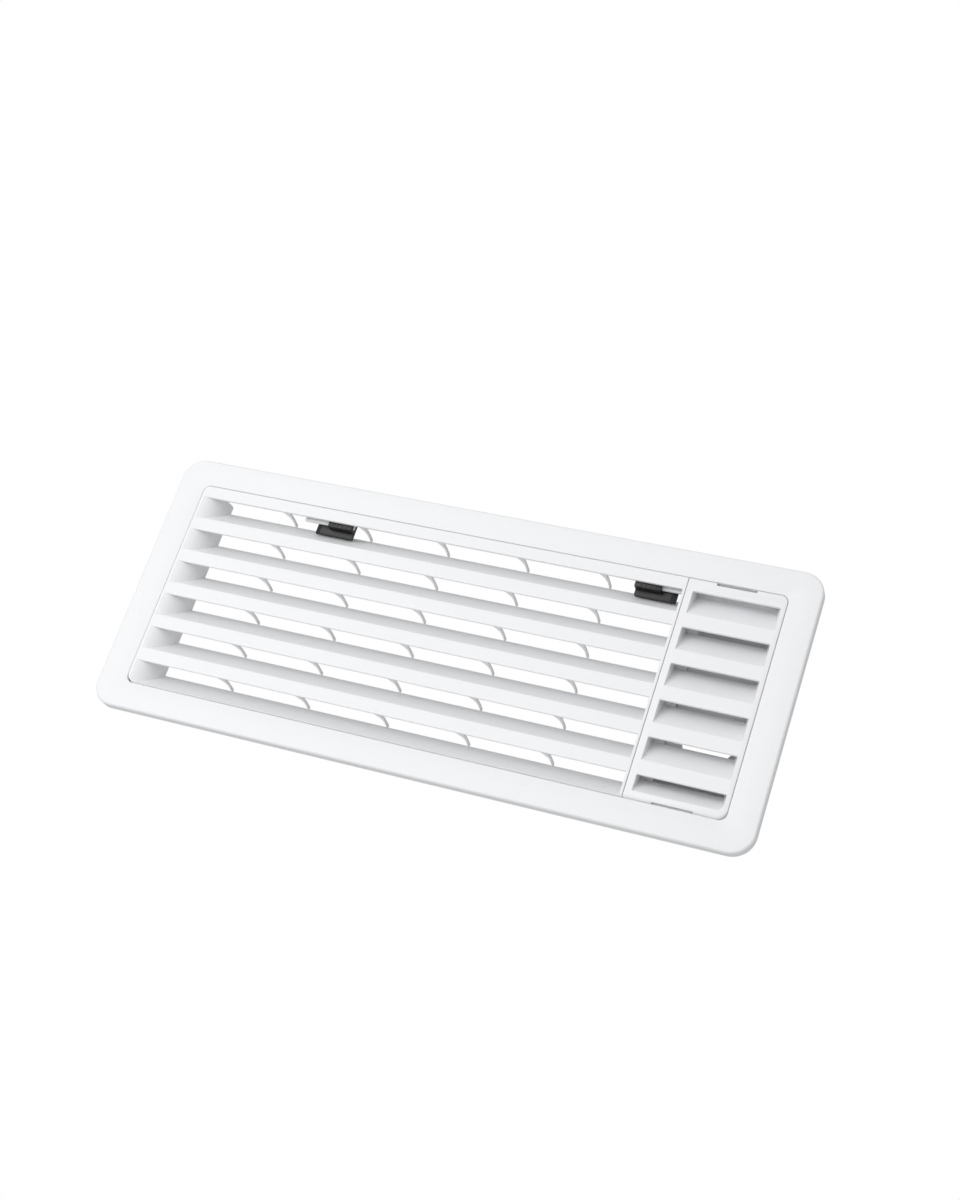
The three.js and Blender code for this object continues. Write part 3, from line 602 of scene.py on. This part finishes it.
def hinge_relief(shape, facing, steps=24):
    """What is cut off below the panel's rounded lower edge, so that it can swing: facing is -1
    in front of the hinge line and 1 behind it."""
    radius = HINGE_ROUND if facing < 0 else LEDGE_DEPTH - CLEAR - HINGE_DEPTH
    radius += RELIEF_MARGIN
    away = HINGE_DEPTH + facing * (radius + 1)
    below = min(PANEL_BOTTOM, HINGE_Z - radius) - 1
    outline = [(away, HINGE_Z), (away, below), (HINGE_DEPTH, below)]
    for step in range(steps + 1):
        angle = math.pi / 2 * step / steps
        outline.append((HINGE_DEPTH + facing * radius * math.sin(angle),
                        HINGE_Z - radius * math.cos(angle)))
    run_along_x(shape, outline, LEFT, RIGHT)


shape = panel_body()
tray_left = DIVIDER_RIGHT - WELD
for span in ((tray_left, WINDOW_LEFT, PANEL_BOTTOM, PANEL_TOP),
             (WINDOW_RIGHT, PANEL_RIGHT, PANEL_BOTTOM, PANEL_TOP),
             (tray_left, PANEL_RIGHT, WINDOW_TOP, PANEL_TOP),
             (tray_left, PANEL_RIGHT, PANEL_BOTTOM, WINDOW_BOTTOM)):
    soft_box(shape, span[0], span[1], TRAY_DEPTH, RIM_DEPTH, span[2], span[3], 0)
for x, z in ADAPTOR_SCREWS:
    bar(shape, POST_RADIUS, place(x, TRAY_DEPTH + CLEAR, z),
        place(x, ADAPTOR_DEPTH - CLEAR, z), 24)
for rail_span in RAIL_SPANS:
    soft_box(shape, *rail_span, *RAIL_DEPTHS, FIRST_LIP - RAIL_DROP, SHELF_TOP, 0.25)
    soft_box(shape, *rail_span, *SHELF_DEPTHS, SHELF_BOTTOM, SHELF_TOP, 0.2)
louvre_panel = finished("panel body", shape, white_abs)

shape = bmesh.new()
outline_radii = (OPEN_CORNER - CLEAR,) * 2 + (SWING_CORNER,) * 2
loft(shape, [rounded_loop(PANEL_LEFT, PANEL_RIGHT, PANEL_BOTTOM, PANEL_TOP, outline_radii, depth)
             for depth in (-1, SLAT_DEPTH + 1)])
carve(louvre_panel, finished("panel outline", shape), "INTERSECT")

shape = bmesh.new()
half_pry = PRY_WIDTH / 2
soft_box(shape, PRY_CENTRE - half_pry, PRY_CENTRE + half_pry, -1, RIM_DEPTH + 1,
         PANEL_TOP - PRY_HEIGHT, PANEL_TOP + 1, 0)
for start, end in KEEPER_SPANS:
    soft_box(shape, start - CLEAR, end + CLEAR, *KEEPER_ROOM_DEPTHS, *KEEPER_ROOM_HEIGHTS, 0)
for room in BOLT_ROOMS:
    soft_box(shape, *room, *BOLT_ROOM_DEPTHS, *BOLT_ROOM_HEIGHTS, 0)
carve(louvre_panel, finished("panel cuts", shape))

for facing in (-1, 1):
    shape = bmesh.new()
    hinge_relief(shape, facing)
    carve(louvre_panel, finished("hinge relief", shape))

# ---- Slats and ribs of the panel -----------------------------------------------------
# The five free slats repeat at one pitch, and every slot is crossed by the same row of thin
# arched ties, so both are set out by rule on the panel and moulded with it.


def slat_part():
    shape = bmesh.new()
    run_along_x(shape, slat_outline(0), lambda depth: max(PANEL_LEFT + 0.02, cheek_x(depth, 1)),
                DIVIDER_LEFT + 0.6)
    return finished("slat", shape, white_abs)


def rib_part(steps=14):
    """A tie: a thin arched strip from the upper lip to the slat's inner edge, flared to the
    left where it springs from the lip."""
    low, high = [], []
    for step in range(steps + 1):
        share = step / steps
        depth = SLAT_SKIN / 2 + (SLAT_DEPTH - 0.2 - SLAT_SKIN / 2) * share
        z = 0.2 + RIB_RISE * math.sin(math.pi * share) - (SLAT_DROP + 0.4) * share
        low.append((depth, z))
        high.append((depth, z + RIB_HEIGHT))
    half = RIB_THICKNESS / 2
    shape = bmesh.new()
    run_along_x(shape, low + high[::-1],
                lambda depth: -half - RIB_FLARE * max(0, 1 - depth / RIB_FLARE_DEPTH) ** 2, half)
    return finished("rib", shape, white_abs)


def louvre_tree():
    """Geometry nodes that add a column of slats and a grid of ribs to the panel's body."""
    tree = bpy.data.node_groups.new("louvre rows", "GeometryNodeTree")
    sockets = (("Body", "NodeSocketGeometry"), ("Slat", "NodeSocketObject"),
               ("Rib", "NodeSocketObject"), ("Slats", "NodeSocketInt"),
               ("Pitch", "NodeSocketFloat"), ("First Lip", "NodeSocketFloat"),
               ("Rib Rows", "NodeSocketInt"), ("Rib Columns", "NodeSocketInt"),
               ("Rib Spacing", "NodeSocketFloat"), ("First Rib", "NodeSocketFloat"),
               ("Finish", "NodeSocketMaterial"))
    for name, kind in sockets:
        tree.interface.new_socket(name, in_out="INPUT", socket_type=kind)
    tree.interface.new_socket("Geometry", in_out="OUTPUT", socket_type="NodeSocketGeometry")
    nodes, link = tree.nodes, tree.links.new
    given, out = nodes.new("NodeGroupInput"), nodes.new("NodeGroupOutput")

    def vector(x=None, z=None):
        made = nodes.new("ShaderNodeCombineXYZ")
        for value, socket in ((x, "X"), (z, "Z")):
            if value:
                link(value, made.inputs[socket])
        return made.outputs["Vector"]

    def negative(value):
        made = nodes.new("ShaderNodeMath")
        made.operation = "MULTIPLY"
        made.inputs[1].default_value = -1
        link(value, made.inputs[0])
        return made.outputs["Value"]

    def row(count, start, step):
        made = nodes.new("GeometryNodeMeshLine")
        link(given.outputs[count], made.inputs["Count"])
        link(start, made.inputs["Start Location"])
        link(step, made.inputs["Offset"])
        return made.outputs["Mesh"]

    def set_on(points, instance):
        made = nodes.new("GeometryNodeInstanceOnPoints")
        link(points, made.inputs["Points"])
        link(instance, made.inputs["Instance"])
        return made.outputs["Instances"]

    def part(socket):
        made = nodes.new("GeometryNodeObjectInfo")
        link(given.outputs[socket], made.inputs["Object"])
        return made.outputs["Geometry"]

    down = vector(z=negative(given.outputs["Pitch"]))
    slats = set_on(row("Slats", vector(z=given.outputs["First Lip"]), down), part("Slat"))
    across = row("Rib Columns", vector(x=given.outputs["First Rib"]),
                 vector(x=given.outputs["Rib Spacing"]))
    one_row = set_on(across, part("Rib"))
    ribs = set_on(row("Rib Rows", vector(z=given.outputs["First Lip"]), down), one_row)
    together = nodes.new("GeometryNodeJoinGeometry")
    for piece in (given.outputs["Body"], slats, ribs):
        link(piece, together.inputs["Geometry"])
    whole, finish = nodes.new("GeometryNodeRealizeInstances"), nodes.new("GeometryNodeSetMaterial")
    link(together.outputs["Geometry"], whole.inputs["Geometry"])
    link(whole.outputs["Geometry"], finish.inputs["Geometry"])
    link(given.outputs["Finish"], finish.inputs["Material"])
    link(finish.outputs["Geometry"], out.inputs["Geometry"])
    return tree


slat, rib = slat_part(), rib_part()
louvre_panel.name = "louvre_panel_moulding"
modifier = louvre_panel.modifiers.new("louvres", "NODES")
modifier.node_group = louvre_tree()
give(modifier, Slat=slat, Rib=rib, Slats=SLOTS - 1, Pitch=SLOT_PITCH * MM,
     First_Lip=FIRST_LIP * MM, Rib_Rows=SLOTS, Rib_Columns=RIB_COLUMNS,
     Rib_Spacing=RIB_PITCH * MM, First_Rib=FIRST_RIB * MM, Finish=white_abs)
settle(louvre_panel)
for part in (slat, rib):
    bpy.data.objects.remove(part)
shape = bmesh.new()
for centre in LUG_CENTRES:
    soft_box(shape, centre - LUG_HALF, centre + LUG_HALF, *LUG_DEPTHS, PANEL_BOTTOM - LUG_LENGTH,
             PANEL_BOTTOM + LUG_ROOT, 0.3)
carve(louvre_panel, finished("lugs", shape), "UNION")
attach(louvre_panel, "panel")
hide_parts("louvre_panel")

# ---- Latches -------------------------------------------------------------------------
# Two black plastic slides. A thumb block in front of the rail and a bolt behind it are one
# moulding, joined under the rail. Pushed outwards, the bolt goes behind the frame's keeper.
BLOCK_WIDTH, BOLT_WIDTH = 17.6, 27.6
BLOCK_DEPTHS, BLOCK_HEIGHTS = (2.5, 5.2), (62.9, 69.5)
BRIDGE_DEPTHS, BRIDGE_HEIGHTS = (4.7, 8.3), (62.9, 64.9)
RIDGES, FIRST_RIDGE, RIDGE_PITCH = 4, (3.6, 4.8), 3.2
RIDGE_DEPTHS, RIDGE_HEIGHTS = (2.25, 3.2), (63.7, 68.7)
BOLT_MIDDLE = 9.2
LATCHES = (("left_latch", "latch_left", -91.5, -1), ("right_latch", "latch_right", 108.0, 1))
black_abs = moulded_plastic("black moulded plastic", (0.006, 0.006, 0.0065),
                            (0.011, 0.011, 0.012), (0.34, 0.5), 0.03)


def latch_shape(inner, side):
    """side is -1 where the latch locks to the left and 1 where it locks to the right."""
    def span(start, end):
        return sorted((inner + side * start, inner + side * end))

    shape = bmesh.new()
    low, high = span(0, BLOCK_WIDTH)
    soft_box(shape, low, high, *BLOCK_DEPTHS, *BLOCK_HEIGHTS, 0.5, 3)
    soft_box(shape, low, high, *BRIDGE_DEPTHS, *BRIDGE_HEIGHTS, 0.3)
    for step in range(RIDGES):
        ridge_low, ridge_high = span(*(edge + RIDGE_PITCH * step for edge in FIRST_RIDGE))
        soft_box(shape, ridge_low, ridge_high, *RIDGE_DEPTHS, *RIDGE_HEIGHTS, 0.25)
    ramp = [(0, 7.8, 0), (BOLT_WIDTH - 3.6, 7.8, 0.6), (BOLT_WIDTH, 9.0, 0.4),
            (BOLT_WIDTH, 10.6, 0.5), (0, 10.6, 0.5)]
    plan = [(inner + side * u, depth) for u, depth in rounded_outline(ramp, 3)]
    levels = ((58.9, 0.5), (59.4, 0), (70.0, 0), (70.5, 0.5))
    middle = inner + side * BOLT_WIDTH / 2
    loops = []
    for z, shrink in levels:
        share = 1 - 2 * shrink / BOLT_WIDTH
        flat = 1 - 0.4 * shrink
        loops.append([place(middle + (x - middle) * share,
                            BOLT_MIDDLE + (depth - BOLT_MIDDLE) * flat, z)
                      for x, depth in plan])
    loft(shape, loops)
    return shape


for name, body, inner, side in LATCHES:
    latch = finished(f"{name}_slide", latch_shape(inner, side), black_abs)
    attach(latch, body)
    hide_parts(name)

# ---- Flue cover ----------------------------------------------------------------------
# A white moulding that snaps into the panel's right-hand end: a plate with six pockets, each
# with a short sloping slat of its own, a notch at top and bottom to lever it out by, and two
# tabs. Its slats overlap the lips, so that rain can't run in.
COVER_LEFT, COVER_RIGHT = 141.8, PANEL_RIGHT
POCKET_LEFT, POCKET_RIGHT = 146.5, 203.2
COVER_DEPTH, COVER_LEAN, COVER_OVERLAP = 12.3, 4.2, 1.6
LAST_FLOOR = -69.5
COVER_FLOOR, COVER_WALL, LAST_CORNER = 1.76, 1.4, 5
TAB_HALF, TAB_DEPTHS, TOP_TAB, BOTTOM_TAB = 10, (1.1, 7.5), 1.4, 1.2
BOTTOM_NOTCH = 1.1
cover_abs = moulded_plastic("white cover plastic", (0.905, 0.91, 0.925), (0.88, 0.886, 0.9),
                            (0.34, 0.46))


def cover_loop(inset, lift, depth):
    """The cover's outline, moved in, with its lower edge lifted round the hinge line."""
    return rounded_loop(COVER_LEFT + inset, COVER_RIGHT - inset, PANEL_BOTTOM + lift,
                        PANEL_TOP - inset, (OPEN_CORNER - CLEAR, 0.6, 0.6, SWING_CORNER), depth)


def pocket_floor(lip, last):
    return LAST_FLOOR if last else lip - SLOT_HEIGHT


shape = bmesh.new()
hinge_loops = []
for depth, inset in ((0, 0.6), (0.18, 0.18), (0.6, 0), (1.2, 0), (2, 0), (PANEL_SKIN, 0)):
    off_axis = max(0, HINGE_DEPTH - depth)
    lift = HINGE_ROUND - math.sqrt(max(0, HINGE_ROUND ** 2 - off_axis ** 2))
    hinge_loops.append(cover_loop(inset, max(lift, inset), depth))
loft(shape, hinge_loops)
flue_cover = finished("flue_cover_moulding", shape, cover_abs)

shape = bmesh.new()
for index, lip in enumerate(LIPS):
    last = index == SLOTS - 1
    floor = pocket_floor(lip, last)
    radii = (0.8, 0.8, 0.8, LAST_CORNER if last else 0.8)
    far = POCKET_RIGHT - COVER_LEAN * (PANEL_SKIN + 1) / COVER_DEPTH
    loft(shape, [rounded_loop(POCKET_LEFT, right, floor, lip, radii, depth, 5)
                 for right, depth in ((POCKET_RIGHT + 0.34, -1), (far, PANEL_SKIN + 1))])
carve(flue_cover, finished("pocket mouths", shape))

shape = bmesh.new()
shape.from_mesh(flue_cover.data)
for index, lip in enumerate(LIPS):
    last = index == SLOTS - 1
    floor = pocket_floor(lip, last)
    rise = lip + COVER_OVERLAP - floor
    thick = COVER_FLOOR * math.hypot(1, rise / COVER_DEPTH)
    section = rounded_outline([
        (0.3, floor + 0.3 * rise / COVER_DEPTH, 0), (COVER_DEPTH, floor + rise, 0.4),
        (COVER_DEPTH, floor + rise - thick, 0.5), (PANEL_SKIN / 2, floor - 1, 0),
        (0.3, floor - 1, 0)])
    run_along_x(shape, section, POCKET_LEFT - WELD,
                lambda depth: POCKET_RIGHT + WELD - COVER_LEAN * depth / COVER_DEPTH)
for wall_left, wall_right, lean in ((POCKET_LEFT - COVER_WALL, POCKET_LEFT, 0),
                                    (POCKET_RIGHT, POCKET_RIGHT + COVER_WALL, COVER_LEAN)):
    plan = [(wall_left, 0.6), (wall_right, 0.6), (wall_right - lean, COVER_DEPTH),
            (wall_left - lean, COVER_DEPTH)]
    loft(shape, [[place(x, depth, z) for x, depth in plan]
                 for z in (WINDOW_BOTTOM + CLEAR, WINDOW_TOP - CLEAR)])
for z0, z1 in ((WINDOW_TOP - CLEAR - TOP_TAB, WINDOW_TOP - CLEAR),
               (WINDOW_BOTTOM + CLEAR, WINDOW_BOTTOM + CLEAR + BOTTOM_TAB)):
    soft_box(shape, PRY_CENTRE - TAB_HALF, PRY_CENTRE + TAB_HALF, *TAB_DEPTHS, z0, z1, 0.3)
bpy.data.objects.remove(flue_cover)
flue_cover = finished("flue_cover_moulding", shape, cover_abs)
shape = bmesh.new()
soft_box(shape, PRY_CENTRE - half_pry, PRY_CENTRE + half_pry, -1, RIM_DEPTH + 1,
         PANEL_TOP - PRY_HEIGHT, PANEL_TOP + 1, 0)
soft_box(shape, PRY_CENTRE - half_pry, PRY_CENTRE + half_pry, -1, PANEL_SKIN + 1,
         PANEL_BOTTOM - 1, PANEL_BOTTOM + BOTTOM_NOTCH, 0)
carve(flue_cover, finished("pry notches", shape))
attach(flue_cover, "cover")
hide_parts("flue_cover")

# ---- Flue adaptor --------------------------------------------------------------------
# A plain white moulding screwed to the back of the panel behind the cover: a plate, a shallow
# box and a round socket that a flue pipe plugs into.
ADAPTOR_LEFT, ADAPTOR_RIGHT, ADAPTOR_BOTTOM, ADAPTOR_TOP = 141.8, 201.8, -72.0, 71.4
BOX_LEFT, BOX_BOTTOM, BOX_TOP, BOX_DEPTH = 151.8, -62.0, 59.9, 29
SOCKET_X, SOCKET_Z, SOCKET_RADIUS, SOCKET_END = 174.85, -16, 22, 49
ADAPTOR_WALL, ADAPTOR_PLATE = 2, 1.8
BAFFLE_POSTS = tuple((x, LIPS[2] + 1) for x in (BOX_LEFT + 8, ADAPTOR_RIGHT - 8))
duct_abs = moulded_plastic("duct plastic", (0.91, 0.91, 0.92), (0.89, 0.89, 0.9),
                           (0.5, 0.64), 0.04)

shape = bmesh.new()
soft_box(shape, ADAPTOR_LEFT, ADAPTOR_RIGHT, ADAPTOR_DEPTH, ADAPTOR_DEPTH + ADAPTOR_PLATE,
         ADAPTOR_BOTTOM, ADAPTOR_TOP, 0.3)
soft_box(shape, BOX_LEFT, ADAPTOR_RIGHT, ADAPTOR_DEPTH + 0.2, BOX_DEPTH, BOX_BOTTOM, BOX_TOP,
         1.4, 4)
bar(shape, SOCKET_RADIUS, place(SOCKET_X, BOX_DEPTH - 1, SOCKET_Z),
    place(SOCKET_X, SOCKET_END, SOCKET_Z), 64, 0.6)
flue_adaptor = finished("flue_adaptor_moulding", shape, duct_abs)
shape = bmesh.new()
soft_box(shape, BOX_LEFT + ADAPTOR_WALL, ADAPTOR_RIGHT - ADAPTOR_WALL, ADAPTOR_DEPTH - 1,
         BOX_DEPTH - ADAPTOR_WALL, BOX_BOTTOM + ADAPTOR_WALL, BOX_TOP - ADAPTOR_WALL, 0.8)
bar(shape, SOCKET_RADIUS - ADAPTOR_WALL, place(SOCKET_X, BOX_DEPTH - 4, SOCKET_Z),
    place(SOCKET_X, SOCKET_END + 1, SOCKET_Z), 64)
for x, z in ADAPTOR_SCREWS:
    bar(shape, SCREW_HOLE, place(x, ADAPTOR_DEPTH - 1, z), place(x, ADAPTOR_DEPTH + 4, z), 20)
for x, z in BAFFLE_POSTS:
    bar(shape, SCREW_HOLE, place(x, BOX_DEPTH - 4, z), place(x, BOX_DEPTH + 1, z), 20)
carve(flue_adaptor, finished("adaptor cuts", shape))
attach(flue_adaptor, "panel")
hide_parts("flue_adaptor")

# ---- Flue baffle ---------------------------------------------------------------------
# A flat plate inside the adaptor's box, held off its back by two posts, that turns the fumes
# down and keeps wind out of the pipe.
BAFFLE_LEFT, BAFFLE_RIGHT = BOX_LEFT + ADAPTOR_WALL + CLEAR, ADAPTOR_RIGHT - ADAPTOR_WALL - CLEAR
BAFFLE_FRONT, BAFFLE_PLATE = ADAPTOR_DEPTH + ADAPTOR_PLATE + 1, 2
baffle_outline = rounded_outline([
    (BAFFLE_LEFT, LIPS[4] - 1, 1), (BAFFLE_LEFT + 12, LIPS[4] - 1, 1),
    (BAFFLE_LEFT + 9.5, LIPS[4] + 6, 1), (BAFFLE_LEFT + 9.5, LIPS[3] - 2, 1.5),
    (BAFFLE_RIGHT, LIPS[3] - 2, 1), (BAFFLE_RIGHT, LIPS[2] + 8, 1), (BAFFLE_LEFT, LIPS[2] + 8, 1)])
shape = bmesh.new()
loft(shape, [[place(x, depth, z) for x, z in baffle_outline]
             for depth in (BAFFLE_FRONT, BAFFLE_FRONT + BAFFLE_PLATE)])
for x, z in BAFFLE_POSTS:
    bar(shape, POST_RADIUS, place(x, BAFFLE_FRONT + WELD, z),
        place(x, BOX_DEPTH - ADAPTOR_WALL - CLEAR, z), 24)
flue_baffle = finished("flue_baffle_plate", shape, duct_abs)
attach(flue_baffle, "panel")
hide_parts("flue_baffle")

# ---- Small screws --------------------------------------------------------------------
# Five small pan-head screws, driven from behind: three hold the adaptor to the panel's posts
# and two hold the baffle in the adaptor's box. Their heads face the back.
small_screw_places = [(place(x, ADAPTOR_DEPTH + ADAPTOR_PLATE + CLEAR, z), (0, 0, math.pi))
                      for x, z in ADAPTOR_SCREWS]
small_screw_places += [(place(x, BOX_DEPTH + CLEAR, z), (0, 0, math.pi)) for x, z in BAFFLE_POSTS]
small_screws = fasten("small_screw_set", screw_mesh("small screw", SMALL_SCREW), small_screw_places)
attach(small_screws, "panel")
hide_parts("adaptor_screw_1", "adaptor_screw_2", "adaptor_screw_3",
            "baffle_screw_1", "baffle_screw_2")

# ---- Floor, light and camera ---------------------------------------------------------
# A plain pale floor well below the grille, a white studio that is brighter in front than
# behind, and two soft lights in front, the stronger on the left, low enough to light the slots.
FLOOR_HEIGHT = -0.75
KEY_POWER, FILL_POWER = 13, 1
FRONT_SURROUND, BACK_SURROUND = 0.72, 0.45

bpy.ops.mesh.primitive_plane_add(size=14, location=(0, 0, FLOOR_HEIGHT))
floor = bpy.context.object
floor.name = "studio_floor"
floor.data.materials.append(moulded_plastic("pale floor", (0.9, 0.9, 0.9), (0.88, 0.88, 0.88),
                                            (0.7, 0.8), 0.01, 2, 60))

world = bpy.data.worlds.new("studio")
bpy.context.scene.world = world
world.use_nodes = True
sky, wires = world.node_tree.nodes, world.node_tree.links.new
shown, lit = sky["Background"], sky.new("ShaderNodeBackground")
seen = sky.new("ShaderNodeLightPath")
shown.inputs["Color"].default_value = (1, 1, 1, 1)
shown.inputs["Strength"].default_value = 1
lit.inputs["Color"].default_value = (1, 1, 1, 1)
facing, parts, fade = (sky.new(kind) for kind in (
    "ShaderNodeTexCoord", "ShaderNodeSeparateXYZ", "ShaderNodeMapRange"))
fade.interpolation_type = "SMOOTHSTEP"
fade.inputs["From Min"].default_value = -0.7
fade.inputs["From Max"].default_value = 0.4
fade.inputs["To Min"].default_value = FRONT_SURROUND
fade.inputs["To Max"].default_value = BACK_SURROUND
wires(facing.outputs["Generated"], parts.inputs["Vector"])
wires(parts.outputs["Y"], fade.inputs["Value"])
wires(fade.outputs["Result"], lit.inputs["Strength"])
choose = sky.new("ShaderNodeMixShader")
wires(seen.outputs["Is Camera Ray"], choose.inputs["Fac"])
wires(lit.outputs["Background"], choose.inputs[1])
wires(shown.outputs["Background"], choose.inputs[2])
wires(choose.outputs["Shader"], sky["World Output"].inputs["Surface"])


def soft_light(name, location, size, power):
    """A square area light that faces the grille."""
    data = bpy.data.lights.new(name, "AREA")
    data.size = size
    data.energy = power
    made = bpy.data.objects.new(name, data)
    made.location = location
    made.rotation_euler = (-Vector(location)).to_track_quat("-Z", "Y").to_euler()
    bpy.context.scene.collection.objects.link(made)


soft_light("key light", (-0.8, -1.7, 0.2), 1.3, KEY_POWER)
soft_light("fill light", (1.0, -1.8, -0.1), 1.4, FILL_POWER)

CAMERA_AZIMUTH, CAMERA_ELEVATION, CAMERA_ROLL = 21.67, -20.11, 19.26
CAMERA_DISTANCE, CAMERA_LENS = 1.269, 58.9
CAMERA_AIM = Vector((0.0106, 0, 0.0344))
azimuth, elevation, roll = (math.radians(angle) for angle in
                            (CAMERA_AZIMUTH, CAMERA_ELEVATION, CAMERA_ROLL))
backward = Vector((math.sin(azimuth) * math.cos(elevation),
                   -math.cos(azimuth) * math.cos(elevation), math.sin(elevation)))
level = Vector((math.cos(azimuth), math.sin(azimuth), 0))
upright = backward.cross(level)
across = level * math.cos(roll) + upright * math.sin(roll)
up = backward.cross(across)
camera_data = bpy.data.cameras.new("camera")
camera_data.lens = CAMERA_LENS
camera_data.clip_start = 0.05
camera = bpy.data.objects.new("camera", camera_data)
camera.matrix_world = Matrix.Translation(CAMERA_AIM + backward * CAMERA_DISTANCE) @ Matrix(
    (across, up, backward)).transposed().to_4x4()
bpy.context.scene.collection.objects.link(camera)
bpy.context.scene.camera = camera
bpy.context.scene.view_settings.view_transform = "Standard"
